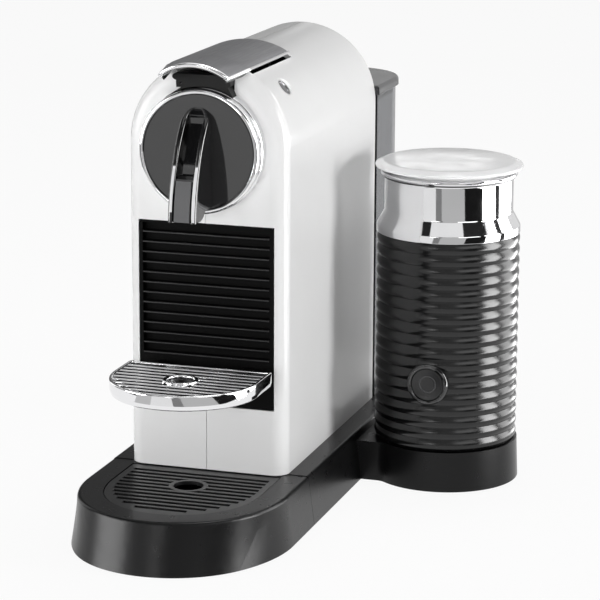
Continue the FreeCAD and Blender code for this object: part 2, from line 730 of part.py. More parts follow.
def lever_frame():
    """The bright lever: arched plate, turned lip and two ears for the hinge pin."""
    plate = lever_slab(0, LEVER_T, 0, LEVER_REAR_Y)
    lip = Part.Face(arch_sector(LIP_R - LEVER_T - LIP_DROP, LIP_R + INLAY_T, LIP_HALF_ANGLE,
                                LEVER_FRONT_Y - LIP_T / 2, LIP_MID_Z)).extrude(Vector(0, LIP_T, 0))
    ear = box(EAR_X, EAR_X + EAR_T, PIVOT_Y - LUG_R, PIVOT_Y + LUG_R, PIVOT_Z, CREST_Z + 5)
    ear = ear.fuse(rod(Vector(EAR_X, PIVOT_Y, PIVOT_Z), X_AXIS, LUG_R, EAR_T))
    under = rod(Vector(0, PIVOT_Y - 2 * LUG_R, ARCH_Z), Y_AXIS, LEVER_R + LEVER_T / 2, 4 * LUG_R)
    ear = ear.common(under)
    frame = fuse_all(plate, lip, ear, mirror_x(ear))
    return frame.cut(rod(Vector(-BODY_HALF_W, PIVOT_Y, PIVOT_Z), X_AXIS, PIVOT_R + PIN_GAP, 2 * BODY_HALF_W))


def lever_inlay():
    """The grey plate set on top of the lever."""
    inlay = lever_slab(LEVER_T, LEVER_T + INLAY_T, INLAY_MARGIN, LEVER_REAR_Y - INLAY_MARGIN)
    return inlay.cut(lever_frame())


POST_X = EAR_X + EAR_T + 2 * SLIDE_GAP


def lever_pin():
    """The steel pin that the lever turns on."""
    half = POST_X + POST_T
    return rod(Vector(-half, PIVOT_Y, PIVOT_Z), X_AXIS, PIVOT_R, 2 * half)


def capsule_deck():
    """The black deck under the lever: capsule slot, hinge posts and finger throat."""
    half = LEVER_R * math.sin(math.radians(LEVER_HALF_ANGLE))
    deck_y0 = SHELL_WALL + SEAT_GAP
    deck = box(-half, half, deck_y0, BREW_END_Y, DECK_Z, DECK_Z + DECK_T)
    throat = box(-THROAT_HALF_W, THROAT_HALF_W, deck_y0, FRONT_ROUND, DECK_Z, THROAT_TOP_Z)
    nose = box(-THROAT_HALF_W, THROAT_HALF_W, 0, FRONT_ROUND, THROAT_Z, THROAT_TOP_Z)
    post_r = LUG_R - 2 * SLIDE_GAP
    post = box(POST_X, POST_X + POST_T, PIVOT_Y - post_r, PIVOT_Y + post_r, DECK_Z, PIVOT_Z)
    post = post.fuse(rod(Vector(POST_X, PIVOT_Y, PIVOT_Z), X_AXIS, post_r, POST_T))
    deck = fuse_all(deck, throat, nose, post, mirror_x(post))
    deck = deck.cut(box(-SLOT_HALF_W, SLOT_HALF_W, SLOT_Y0, SLOT_Y1, DECK_Z - 1, DECK_Z + DECK_T + 1))
    deck = deck.cut(rod(Vector(-BODY_HALF_W, PIVOT_Y, PIVOT_Z), X_AXIS, PIVOT_R, 2 * BODY_HALF_W))
    return deck


# Brew unit

BAY_TOP_Z = GRILLE_Z1 + SLIDE_GAP + 2 * BAY_WALL
BREW_FRONT_Y = SHELL_WALL + SEAT_GAP
CHAMBER_Y = BREW_FRONT_Y + 6.0
PLATE_Y1 = CHAMBER_Y + 3.0
CAGE_Y = PLATE_Y1 + 3.0


def brew_housing():
    """The brew unit's body: a bored block with a capsule slot through it."""
    body = box(-BREW_HALF_W, BREW_HALF_W, BREW_FRONT_Y, BREW_END_Y, BAY_TOP_Z, DECK_Z)
    body = body.cut(rod(Vector(0, CHAMBER_Y, RING_Z), Y_AXIS, CAGE_R + SEAT_GAP, BREW_END_Y))
    body = body.cut(box(-SLOT_HALF_W, SLOT_HALF_W, SLOT_Y0, SLOT_Y1, BAY_TOP_Z - 1, DECK_Z + 1))
    return body.cut(rod(Vector(0, 0, RING_Z), Y_AXIS, SPOUT_TAIL_R, CHAMBER_Y + 1))


def pierce_plate():
    """The plate at the front of the chamber that opens the capsule's foil."""
    plate = rod(Vector(0, CHAMBER_Y, RING_Z), Y_AXIS, CAGE_R + FIT_GAP / 2, PLATE_Y1 - CHAMBER_Y)
    for ring in range(1, 4):
        for step in range(6 * ring):
            angle = 2 * math.pi * step / (6 * ring)
            radius = ring * CAGE_R / 4.2
            spot = Vector(radius * math.cos(angle), CHAMBER_Y, RING_Z + radius * math.sin(angle))
            plate = plate.cut(rod(spot, Y_AXIS, 0.7, PLATE_Y1 - CHAMBER_Y))
    return plate


def capsule_cage():
    """The cup that holds the capsule and draws back when the lever opens."""
    cage = rod(Vector(0, CAGE_Y, RING_Z), Y_AXIS, CAGE_R, CAGE_LEN)
    cage = cage.cut(rod(Vector(0, CAGE_Y, RING_Z), Y_AXIS, CAGE_BORE_R, CAGE_LEN - 4))
    return cage.cut(rod(Vector(0, CAGE_Y, RING_Z), Y_AXIS, HOSE_R, CAGE_LEN + 1))


# Shoulder buttons

BUTTON_FLANGE_R = BUTTON_R + BUTTON_FLANGE
BUTTON_FLANGE_OUT = math.sqrt(INNER_R ** 2 - BUTTON_FLANGE_R ** 2) - SEAT_GAP
BUTTON_TIP = BODY_HALF_W - BUTTON_DISH - PIN_GAP


def shoulder_button(side):
    """A round push button in the shoulder, with a flange that keeps it in."""
    out = button_normal(side)
    low = BUTTON_FLANGE_OUT - BUTTON_FLANGE_T
    cap = rod(on_shoulder(side, low), out, BUTTON_R, BUTTON_TIP - low)
    flange = rod(on_shoulder(side, low), out, BUTTON_FLANGE_R, BUTTON_FLANGE_T)
    body = fuse_all(cap, flange)
    tip = edges_where(body, lambda p: (p - on_shoulder(side, BUTTON_TIP)).dot(out) > -0.01)
    return body.makeFillet(0.5, tip)


def button_guide(side):
    """The cup under the shell that guides a shoulder button and holds its switch."""
    out = button_normal(side)
    start = BUTTON_FLANGE_OUT - GUIDE_DEPTH
    cup = rod(on_shoulder(side, start), out, BUTTON_FLANGE_R + FIT_GAP + GUIDE_WALL, GUIDE_DEPTH + GUIDE_SKIRT)
    reach = 2 * (BUTTON_FLANGE_R + GUIDE_WALL)
    limit = rod(Vector(0, BUTTON_Y - reach, ARCH_Z), Y_AXIS, INNER_R, 2 * reach)
    well = rod(on_shoulder(side, BUTTON_FLANGE_OUT - BUTTON_FLANGE_T - BUTTON_TRAVEL - FIT_GAP), out,
               BUTTON_FLANGE_R + FIT_GAP, GUIDE_DEPTH + GUIDE_SKIRT)
    return cup.common(limit).cut(well)


# Drawer bay and drawer

BAY_HALF_W = GRILLE_HALF_W + SLIDE_GAP
BAY_FLOOR_Z = GRILLE_Z0 - SLIDE_GAP


def drawer_bay():
    """The lining that the capsule drawer slides in, standing on the base."""
    y0 = SHELL_WALL + SEAT_GAP
    outer_w = BAY_HALF_W + BAY_WALL
    side = box(BAY_HALF_W, outer_w, FRONT_ROUND, BAY_DEPTH, BASE_TOP, BAY_TOP_Z)
    floor = box(-outer_w, outer_w, FRONT_ROUND, BAY_DEPTH, BAY_FLOOR_Z - BAY_WALL, BAY_FLOOR_Z)
    top = box(-outer_w, outer_w, FRONT_ROUND, BAY_DEPTH, BAY_TOP_Z - BAY_WALL, BAY_TOP_Z)
    porch = box(-BAY_HALF_W, BAY_HALF_W, y0, FRONT_ROUND + 1, BAY_TOP_Z - BAY_WALL, BAY_TOP_Z)
    back = box(-outer_w, outer_w, BAY_DEPTH - BAY_WALL, BAY_DEPTH, BASE_TOP, BAY_TOP_Z)
    bay = fuse_all(side, mirror_x(side), floor, top, porch, back)
    return bay.cut(box(-SLOT_HALF_W, SLOT_HALF_W, SLOT_Y0, SLOT_Y1, BAY_TOP_Z - 2 * BAY_WALL, BAY_TOP_Z + 1))


def hinge_ear():
    """One ear on the drawer front that carries the cup tray's hinge pin."""
    ear = box(HINGE_EAR_X, HINGE_EAR_X + HINGE_EAR_T, HINGE_Y, GRILLE_T / 2, HINGE_Z - HINGE_LUG_R,
              HINGE_Z + HINGE_LUG_R)
    return ear.fuse(rod(Vector(HINGE_EAR_X, HINGE_Y, HINGE_Z), X_AXIS, HINGE_LUG_R, HINGE_EAR_T))


RIB_LOW_Z = GRILLE_Z1 - (RIB_COUNT - 1) * RIB_PITCH


def drawer_front():
    """The black ribbed front of the drawer, with the ears for the cup tray."""
    panel = box(-GRILLE_HALF_W, GRILLE_HALF_W, 0, GRILLE_T, GRILLE_Z0, GRILLE_Z1)
    uprights = edges_where(panel, lambda p: abs(abs(p.x) - GRILLE_HALF_W) < 0.01)
    uprights = [e for e in uprights if abs(e.Vertexes[0].Y - e.Vertexes[1].Y) > GRILLE_T / 2]
    panel = panel.makeFillet(2.0, uprights)
    half = GRILLE_HALF_W - 2 * RIB_T
    slots = []
    for row in range(RIB_COUNT - 1):
        low = RIB_LOW_Z + row * RIB_PITCH
        slots.append(box(-half, half, -1, RIB_DEPTH, low, low + RIB_PITCH - RIB_T))
    panel = panel.cut(Part.makeCompound(slots))
    ear = hinge_ear()
    panel = fuse_all(panel, ear, mirror_x(ear))
    reach = HINGE_EAR_X + HINGE_EAR_T + 1
    return panel.cut(rod(Vector(-reach, HINGE_Y, HINGE_Z), X_AXIS, HINGE_R, 2 * reach))


def capsule_bin():
    """The open-topped bin for used capsules behind the drawer front."""
    half = BAY_HALF_W - SLIDE_GAP - BIN_WALL
    low = BAY_FLOOR_Z + SEAT_GAP
    bin_body = box(-half, half, GRILLE_T, GRILLE_T + BIN_DEPTH, low, BIN_TOP_Z)
    uprights = [e for e in bin_body.Edges if abs(e.Vertexes[0].Z - e.Vertexes[1].Z) > 1]
    bin_body = bin_body.makeFillet(3 * BIN_WALL, [e for e in uprights if e.Vertexes[0].Y > GRILLE_T + 1])
    hollow = box(-half + BIN_WALL, half - BIN_WALL, GRILLE_T + BIN_WALL, GRILLE_T + BIN_DEPTH - BIN_WALL,
                 low + BIN_WALL, BIN_TOP_Z + 1)
    return bin_body.cut(hollow)


KNUCKLE_X = HINGE_EAR_X + HINGE_EAR_T + HINGE_SLOT_GAP


def hinge_clearance():
    """The two full-height slots in the cup tray that the ears swing through."""
    slot = box(HINGE_EAR_X - HINGE_SLOT_GAP, KNUCKLE_X, HINGE_Y - HINGE_LUG_R - 1, GRILLE_T,
               TRAY_Z0 - 1, TRAY_Z1 + 1)
    return slot.fuse(mirror_x(slot))


def cup_tray():
    """The bright D-shaped cup support that folds up on the drawer front."""
    tray = prism(d_outline(TRAY_HALF_W, TRAY_BACK_Y, TRAY_TIP_Y, TRAY_Z0), Vector(0, 0, TRAY_Z1 - TRAY_Z0))
    lower = edges_where(tray, lambda p: p.z < TRAY_Z0 + 0.01 and p.y < TRAY_BACK_Y + 0.01)
    lower = [e for e in lower if min(v.Y for v in e.Vertexes) < TRAY_BACK_Y - 1]
    tray = tray.makeFillet(EDGE_ROUND, lower)
    inside = d_outline(TRAY_HALF_W - TRAY_WALL, TRAY_BACK_Y - TRAY_WALL, TRAY_TIP_Y + TRAY_WALL,
                       TRAY_Z0 + TRAY_WALL)
    tray = tray.cut(prism(inside, Vector(0, 0, TRAY_Z1)))
    ledge_top = TRAY_Z1 - GRID_T
    ledge = prism(d_outline(TRAY_HALF_W - TRAY_WALL / 2, TRAY_BACK_Y - TRAY_WALL / 2,
                            TRAY_TIP_Y + TRAY_WALL / 2, TRAY_Z0 + TRAY_WALL),
                  Vector(0, 0, ledge_top - TRAY_Z0 - TRAY_WALL))
    ledge = ledge.cut(prism(d_outline(TRAY_HALF_W - 2 * TRAY_WALL, TRAY_BACK_Y - 2 * TRAY_WALL,
                                      TRAY_TIP_Y + 2 * TRAY_WALL, TRAY_Z0), Vector(0, 0, TRAY_Z1)))
    tray = fuse_all(tray, ledge).cut(hinge_clearance())
    knuckle = box(KNUCKLE_X, KNUCKLE_X + HINGE_KNUCKLE_T, HINGE_Y - HINGE_LUG_R, TRAY_BACK_Y - TRAY_WALL,
                  TRAY_Z0 + TRAY_WALL / 2, ledge_top)
    tray = fuse_all(tray, knuckle, mirror_x(knuckle))
    return tray.cut(rod(Vector(-TRAY_HALF_W, HINGE_Y, HINGE_Z), X_AXIS, HINGE_R + PIN_GAP, 2 * TRAY_HALF_W)
                    .common(box(-HINGE_PIN_END, HINGE_PIN_END, HINGE_Y - 5, HINGE_Y + 5, TRAY_Z0, TRAY_Z1)))


HINGE_PIN_END = KNUCKLE_X + HINGE_KNUCKLE_T


def cup_hinge_pins():
    """The two steel pins of the cup tray's hinge."""
    pin = rod(Vector(HINGE_EAR_X, HINGE_Y, HINGE_Z), X_AXIS, HINGE_R, HINGE_PIN_END - HINGE_EAR_X)
    return both_sides(pin)


def cup_grid():
    """The bright slotted grid in the cup tray."""
    edge = TRAY_WALL + FIT_GAP
    low = TRAY_Z1 - GRID_T
    plate = prism(d_outline(TRAY_HALF_W - edge, TRAY_BACK_Y - edge, TRAY_TIP_Y + edge, low), Vector(0, 0, GRID_T))
    half_w = TRAY_HALF_W - edge - GRID_BORDER
    front_y = TRAY_TIP_Y + edge + GRID_BORDER
    centre_y = TRAY_TIP_Y + TRAY_HALF_W
    back_y = HINGE_Y - HINGE_LUG_R - GRID_BORDER

    def half_at(y):
        if y > centre_y:
            return half_w
        return math.sqrt(max(0.0, half_w ** 2 - (y - centre_y) ** 2))

    rows = slot_rows(half_at, front_y, back_y, GRID_PITCH, GRID_SLOT, low - 1, TRAY_Z1 + 1)
    middle = Vector(0, (front_y + back_y) / 2, 0)
    return slotted(plate, middle, CUP_RING_R, rows, low, GRID_T).cut(hinge_clearance())


# Water tank

TANK_Z0 = BASE_TOP + FIT_GAP


def tank_outline(inset, z):
    """Plan outline of the tank, offset inwards by inset."""
    return round_back_outline(TANK_HALF_W - inset, TANK_FRONT_Y + inset, TANK_BACK_Y - inset,
                              TANK_CORNER_R - inset, z)


def water_tank():
    """The clear water tank behind the body, open at the top."""
    tank = prism(tank_outline(0, TANK_Z0), Vector(0, 0, TANK_TOP_Z - TANK_Z0))
    tank = tank.cut(prism(tank_outline(TANK_WALL, TANK_Z0 + TANK_WALL), Vector(0, 0, TANK_TOP_Z)))
    return tank.cut(rod(Vector(0, SPIGOT_Y, TANK_Z0), Z_AXIS, VALVE_R, TANK_WALL))


def tank_valve():
    """The rubber-lipped valve in the tank's floor that fits over the spigot."""
    ring = tube(Vector(0, SPIGOT_Y, TANK_Z0), Z_AXIS, VALVE_R, SPIGOT_R + SEAT_GAP, TANK_WALL)
    flange_z = TANK_Z0 + TANK_WALL
    dome_h = SPIGOT_H + TANK_WALL
    dome = tube(Vector(0, SPIGOT_Y, flange_z), Z_AXIS, VALVE_R + 3, SPIGOT_R + SEAT_GAP, dome_h)
    cap = tube(Vector(0, SPIGOT_Y, flange_z + dome_h), Z_AXIS, VALVE_R + 3, SPIGOT_BORE_R, TANK_WALL)
    return fuse_all(ring, dome, cap)


def tank_lid():
    """The dark lid over the tank, with a plug that drops inside the walls."""
    cover = round_back_outline(TANK_HALF_W + LID_OVERHANG, BODY_DEPTH + SEAT_GAP, TANK_BACK_Y + LID_OVERHANG,
                               TANK_CORNER_R + LID_OVERHANG, TANK_TOP_Z)
    lid = prism(cover, Vector(0, 0, LID_T))
    top = edges_where(lid, lambda p: p.z > TANK_TOP_Z + LID_T - 0.01)
    lid = lid.makeFillet(LID_ROUND, top)
    plug = prism(tank_outline(TANK_WALL + SEAT_GAP, TANK_TOP_Z - 2 * TANK_WALL), Vector(0, 0, 3 * TANK_WALL))
    hollow = prism(tank_outline(2 * TANK_WALL + SEAT_GAP, TANK_TOP_Z - 2 * TANK_WALL), Vector(0, 0, 2 * TANK_WALL))
    return fuse_all(lid, plug.cut(hollow))


def inlet_spigot():
    """The water inlet that stands up from the base into the tank's valve."""
    low = BASE_TOP - 3 * BASE_WALL
    pipe = rod(Vector(0, SPIGOT_Y, low), Z_AXIS, SPIGOT_R, BASE_TOP + SPIGOT_H - low)
    return pipe.cut(rod(Vector(0, SPIGOT_Y, low), Z_AXIS, SPIGOT_BORE_R, BASE_TOP))


# Inner works


def service_frame():
    """The upright and shelf behind the drawer bay that carry the heater and board."""
    half = BAY_HALF_W + BAY_WALL
    upright = box(-half, half, BAY_DEPTH, WORKS_Y, BASE_TOP, SHELF_Z + SHELF_T)
    shelf = box(-half, half, BAY_DEPTH, REAR_COVER_Y, SHELF_Z, SHELF_Z + SHELF_T)
    frame = fuse_all(upright, shelf)
    return frame.cut(rod(Vector(0, HEATER_MID_Y, SHELF_Z - 1), Z_AXIS, HOSE_R + FIT_GAP,
                         SHELF_T + 2))


def heater_block():
    """The cast heater that brings the water to brewing heat."""
    y0 = WORKS_Y + HEATER_SETBACK
    low = SHELF_Z + SHELF_T
    block = box(-HEATER_HALF_W, HEATER_HALF_W, y0, y0 + HEATER_DEPTH, low, low + HEATER_H)
    return block.makeFillet(HEATER_ROUND, [e for e in block.Edges if abs(e.Vertexes[0].X - e.Vertexes[1].X) > 1])


PUMP_Y = WORKS_Y + 2 * HOSE_R + HOSE_AIR + PUMP_STUB


def water_pump():
    """The vibration pump: a coil can with a stepped water end."""
    can = rod(Vector(0, PUMP_Y, PUMP_Z), Y_AXIS, PUMP_R, PUMP_LEN)
    inlet = rod(Vector(0, PUMP_Y - PUMP_STUB, PUMP_Z), Y_AXIS, PUMP_R / 3, PUMP_STUB + 1)
    outlet = rod(Vector(0, PUMP_Y + PUMP_LEN - 1, PUMP_Z), Y_AXIS, PUMP_R / 3, PUMP_STUB + 1)
    return fuse_all(can, inlet, outlet)


def pump_mounts():
    """Two rubber saddles that hold the pump off the base."""
    half = PUMP_R * 0.8
    saddles = []
    for y in (PUMP_Y + MOUNT_T, PUMP_Y + PUMP_LEN - 2 * MOUNT_T):
        block = box(-half, half, y, y + MOUNT_T, BASE_TOP, PUMP_Z)
        saddles.append(block.cut(rod(Vector(0, y - 1, PUMP_Z), Y_AXIS, PUMP_R, MOUNT_T + 2)))
    return Part.makeCompound(saddles)


def control_board():
    """The control board standing against the service frame."""
    half = BAY_HALF_W - BOARD_EDGE
    low = PUMP_Z + PUMP_R + BOARD_AIR
    return box(-half, half, WORKS_Y, WORKS_Y + BOARD_T, low, SHELF_Z - BOARD_AIR)


METER = Vector(BAY_HALF_W - METER_R - METER_AIR, PUMP_Y + PUMP_LEN / 2, BASE_TOP)


def flow_meter():
    """The small flow meter that counts the water on its way to the pump."""
    return fuse_all(rod(METER, Z_AXIS, METER_R, METER_H), rod(METER, Z_AXIS, HOSE_R, METER_H + METER_STUB))


# Milk frother and its dock

def dock_solid():
    """The dock's outside: a round stand joined to the base by a short bridge."""
    cone = Part.makeCone(DOCK_R, DOCK_R - DOCK_TAPER, DOCK_TOP - FOOT_H, Vector(JUG_X, JUG_Y, FOOT_H))
    bridge = box(BASE_TOP_HALF_W, JUG_X, BRIDGE_Y0, BRIDGE_Y1, FOOT_H, DOCK_TOP)
    dock = fuse_all(cone, bridge).cut(tapered_rear(0, CHASSIS_FRONT_Y, BACK_Y, FOOT_H, BASE_TOP))
    return dock


def frother_dock():
    """The hollow stand that the frother sits on."""
    dock = dock_solid()
    corner = [e for e in dock.Edges if len(e.Vertexes) == 2
              and abs(e.Vertexes[0].Z - e.Vertexes[1].Z) > DOCK_TOP / 2
              and JUG_X - DOCK_R < e.Vertexes[0].X < JUG_X and e.Vertexes[0].X > BASE_HALF_W + 2]
    dock = dock.makeFillet(BRIDGE_BLEND, corner)
    well = rod(Vector(JUG_X, JUG_Y, FOOT_H), Z_AXIS, DOCK_R - DOCK_TAPER - BASE_WALL,
               DOCK_TOP - FOOT_H - BASE_WALL)
    dock = dock.cut(well)
    return dock.cut(rod(Vector(JUG_X, JUG_Y, 0), Z_AXIS, PLUG_R, DOCK_TOP + 1))


def dock_plate():
    """The bottom cover of the dock."""
    return rod(Vector(JUG_X, JUG_Y, FOOT_H), Z_AXIS, DOCK_R - DOCK_TAPER - BASE_WALL - FIT_GAP, PLATE_T)


def dock_plug():
    """The round electrical plug that stands up from the dock."""
    low = DOCK_TOP - 2 * BASE_WALL
    plug = rod(Vector(JUG_X, JUG_Y, low), Z_AXIS, PLUG_R, DOCK_TOP + PLUG_H - low)
    groove = tube(Vector(JUG_X, JUG_Y, DOCK_TOP + 1), Z_AXIS, PLUG_R * 0.7, PLUG_R * 0.5, PLUG_H)
    return plug.cut(groove)


def jug_turned(points):
    """A solid turned about the frother's upright axis from radius and height pairs."""
    wire = polygon([Vector(JUG_X + r, JUG_Y, z) for r, z in points])
    return turned(wire, Vector(JUG_X, JUG_Y, 0), Z_AXIS)


def frother_sleeve():
    """The black outer wall of the frother, waved in and out to form round ribs."""
    quarter = (SLEEVE_Z1 - SLEEVE_Z0) / SLEEVE_RIBS / 4
    middle_r = SLEEVE_R - SLEEVE_GROOVE / 2
    at = lambda r, z: Vector(JUG_X + r, JUG_Y, z)
    edges = []
    for half in range(2 * SLEEVE_RIBS):
        z = SLEEVE_Z0 + 2 * half * quarter
        swing = SLEEVE_GROOVE / 2 if half % 2 == 0 else -SLEEVE_GROOVE / 2
        edges.append(arc3(at(middle_r, z), at(middle_r + swing, z + quarter), at(middle_r, z + 2 * quarter)))
    inner_r = SLEEVE_R - SLEEVE_WALL
    edges.append(Part.makeLine(at(middle_r, SLEEVE_Z1), at(inner_r, SLEEVE_Z1)))
    edges.append(Part.makeLine(at(inner_r, SLEEVE_Z1), at(inner_r, SLEEVE_Z0)))
    edges.append(Part.makeLine(at(inner_r, SLEEVE_Z0), at(middle_r, SLEEVE_Z0)))
    sleeve = turned(Part.Wire(edges), Vector(JUG_X, JUG_Y, 0), Z_AXIS)
    hole = rod(Vector(JUG_X, JUG_Y - 2 * SLEEVE_R, JUG_BUTTON_Z), Y_AXIS, JUG_BEZEL_R, 2 * SLEEVE_R)
    return sleeve.cut(hole)


def frother_collar():
    """The bright collar: a straight band, a sloped step and a narrower neck."""
    inner = CUP_R + CUP_WALL + FIT_GAP
    neck = COLLAR_NECK_R
    base_in = SLEEVE_R - COLLAR_WALL
    points = [(base_in, SLEEVE_Z1), (SLEEVE_R, SLEEVE_Z1), (SLEEVE_R, COLLAR_STEP_Z), (neck, COLLAR_NECK_Z),
              (neck, COLLAR_TOP_Z - 4), (neck + 2, COLLAR_TOP_Z), (inner, COLLAR_TOP_Z),
              (inner, COLLAR_NECK_Z - 1), (base_in, COLLAR_STEP_Z - 1)]
    return jug_turned(points)


def frother_cup():
    """The inner milk cup with its rim and the post that the whisk turns on."""
    outer = CUP_R + CUP_WALL
    rim = COLLAR_NECK_R + 1
    top = COLLAR_TOP_Z + CUP_WALL
    points = [(0, CUP_FLOOR_Z - CUP_WALL), (outer, CUP_FLOOR_Z - CUP_WALL), (outer, COLLAR_TOP_Z),
              (rim, COLLAR_TOP_Z), (rim, top), (CUP_R, top), (CUP_R, CUP_FLOOR_Z),
              (WHISK_POST_R, CUP_FLOOR_Z), (WHISK_POST_R, CUP_FLOOR_Z + WHISK_POST_H),
              (0, CUP_FLOOR_Z + WHISK_POST_H)]
    return jug_turned(points)


def frother_floor():
    """The disc that closes the bottom of the frother round its socket."""
    return tube(Vector(JUG_X, JUG_Y, SLEEVE_Z0), Z_AXIS, SLEEVE_R - SLEEVE_WALL, PLUG_R + SOCKET_WALL,
                BASE_WALL)


def frother_socket():
    """The socket in the frother's bottom that fits over the dock's plug."""
    outer = rod(Vector(JUG_X, JUG_Y, SLEEVE_Z0), Z_AXIS, PLUG_R + SOCKET_WALL,
                PLUG_H + SOCKET_AIR + SOCKET_ROOF)
    return outer.cut(rod(Vector(JUG_X, JUG_Y, SLEEVE_Z0), Z_AXIS, PLUG_R + SEAT_GAP,
                         PLUG_H + SOCKET_AIR))


MOTOR_LOW = SLEEVE_Z0 + PLUG_H + SOCKET_AIR + SOCKET_ROOF


def frother_motor():
    """The motor that turns the drive magnet, standing on the socket."""
    can = rod(Vector(JUG_X, JUG_Y, MOTOR_LOW), Z_AXIS, MOTOR_R, MOTOR_Z1 - MOTOR_LOW)
    return can.cut(rod(Vector(JUG_X, JUG_Y, MOTOR_Z0), Z_AXIS, SHAFT_R + PIN_GAP, MOTOR_Z1))


def drive_magnet():
    """The magnet disc and shaft that turn the whisk through the cup's floor."""
    low = MOTOR_Z1 + 1
    disc = rod(Vector(JUG_X, JUG_Y, low), Z_AXIS, MAGNET_R, MAGNET_T)
    shaft = rod(Vector(JUG_X, JUG_Y, MOTOR_Z0 + 1), Z_AXIS, SHAFT_R, low - MOTOR_Z0)
    return fuse_all(disc, shaft)


def heater_ring():
    """The flat heating ring pressed under the cup's floor."""
    top = CUP_FLOOR_Z - CUP_WALL
    return tube(Vector(JUG_X, JUG_Y, top - 3), Z_AXIS, CUP_R - 2, MAGNET_R + 4, 3)


def frother_whisk():
    """The whisk: a hub on the cup's post with a wire ring on three arms."""
    low = CUP_FLOOR_Z + 2
    hub = tube(Vector(JUG_X, JUG_Y, low), Z_AXIS, WHISK_POST_R + 2.5, WHISK_POST_R + PIN_GAP,
               WHISK_POST_H - 2)
    cap = rod(Vector(JUG_X, JUG_Y, CUP_FLOOR_Z + WHISK_POST_H + SEAT_GAP), Z_AXIS, WHISK_POST_R + 2.5, 2)
    neck = tube(Vector(JUG_X, JUG_Y, low + WHISK_POST_H - 3), Z_AXIS, WHISK_POST_R + 2.5,
                WHISK_POST_R + PIN_GAP, 2 + SEAT_GAP)
    ring = Part.makeTorus(WHISK_R, WHISK_WIRE_R, Vector(JUG_X, JUG_Y, low + 2))
    pieces = [cap, neck, ring]
    for arm in range(3):
        angle = 2 * math.pi * arm / 3
        way = Vector(math.cos(angle), math.sin(angle), 0)
        start = Vector(JUG_X, JUG_Y, low + 2) + way * (WHISK_POST_R + 1)
        pieces.append(rod(start, way, WHISK_WIRE_R * 0.8, WHISK_R - WHISK_POST_R - 1))
    return fuse_all(hub, *pieces)


def frother_lid():
    """The clear lid with a plug that fits the cup."""
    plug_r = CUP_R - SEAT_GAP - 1.6
    plug_z = COLLAR_TOP_Z - 4
    points = [(0, JUG_LID_Z1 - JUG_LID_T), (plug_r - JUG_LID_T, JUG_LID_Z1 - JUG_LID_T),
              (plug_r - JUG_LID_T, plug_z), (plug_r, plug_z), (plug_r, JUG_LID_Z0), (JUG_LID_R, JUG_LID_Z0),
              (JUG_LID_R, JUG_LID_Z1 - 1), (JUG_LID_R - 1, JUG_LID_Z1), (0, JUG_LID_Z1)]
    return jug_turned(points)


def lid_seal():
    """The soft seal round the lid's plug."""
    plug_r = CUP_R - SEAT_GAP - 1.6
    low = COLLAR_TOP_Z - 3
    return tube(Vector(JUG_X, JUG_Y, low), Z_AXIS, CUP_R - SEAT_GAP, plug_r, 3)


JUG_FACE_Y = JUG_Y - SLEEVE_R - JUG_BUTTON_PROUD


def frother_bezel():
    """The ring round the frother's button, let into the sleeve."""
    return tube(Vector(JUG_X, JUG_FACE_Y, JUG_BUTTON_Z), Y_AXIS, JUG_BEZEL_R, JUG_BUTTON_R + FIT_GAP,
                JUG_BUTTON_LEN)


def frother_button():
    """The frother's round push button."""
    return rod(Vector(JUG_X, JUG_FACE_Y, JUG_BUTTON_Z), Y_AXIS, JUG_BUTTON_R, JUG_BUTTON_LEN)


def frother_switch():
    """The switch block behind the frother's button."""
    y0 = JUG_FACE_Y + JUG_BUTTON_LEN + JUG_BUTTON_TRAVEL + FIT_GAP
    plate = rod(Vector(JUG_X, y0, JUG_BUTTON_Z), Y_AXIS, JUG_BEZEL_R, 3)
    collar = tube(Vector(JUG_X, JUG_FACE_Y + JUG_BUTTON_LEN, JUG_BUTTON_Z), Y_AXIS, JUG_BEZEL_R,
                  JUG_BUTTON_R + FIT_GAP, y0 - JUG_FACE_Y - JUG_BUTTON_LEN + 1)
    return fuse_all(plate, collar)


# Hoses

def hose(points):
    """A round hose along straight runs with rounded corners."""
    pieces = []
    for a, b in zip(points, points[1:]):
        run = b.sub(a)
        pieces.append(rod(a, run, HOSE_R, run.Length))
    for corner in points[1:-1]:
        pieces.append(Part.makeSphere(HOSE_R, corner))
    return fuse_all(pieces[0], *pieces[1:])


def brew_hose():
    """The hot-water hose from the heater to the back of the brew unit's cage."""
    top = SHELF_Z + SHELF_T + HEATER_H
    start = Vector(0, HEATER_MID_Y, top)
    bend = Vector(0, start.y, RING_Z)
    end = Vector(0, CAGE_Y + CAGE_LEN + CAGE_TRAVEL + 4, RING_Z)
    return hose([start, bend, end])


def pump_hose():
    """The pressure hose from the pump's outlet up through the shelf to the heater."""
    start = Vector(0, PUMP_Y + PUMP_LEN + PUMP_STUB + HOSE_R, PUMP_Z)
    turn_z = SHELF_Z - 3 * HOSE_R
    return hose([start, Vector(0, start.y, turn_z), Vector(0, HEATER_MID_Y, turn_z),
                 Vector(0, HEATER_MID_Y, SHELF_Z + SHELF_T)])


def suction_hoses():
    """The two hoses that lead water from the tank's inlet to the meter and the pump."""
    low_z = FOOT_H + PLATE_T + 4 * HOSE_R
    inlet = Vector(0, SPIGOT_Y, BASE_TOP - 3 * BASE_WALL)
    under = hose([inlet, Vector(0, SPIGOT_Y, low_z), Vector(METER.x, SPIGOT_Y, low_z),
                  Vector(METER.x, METER.y, low_z), METER])
    top = METER + Vector(0, 0, METER_H + METER_STUB)
    front_y = PUMP_Y - PUMP_STUB - HOSE_R
    over = hose([top, Vector(METER.x, METER.y, PUMP_Z), Vector(METER.x, front_y, PUMP_Z),
                 Vector(0, front_y, PUMP_Z)])
    return Part.makeCompound([under, over])


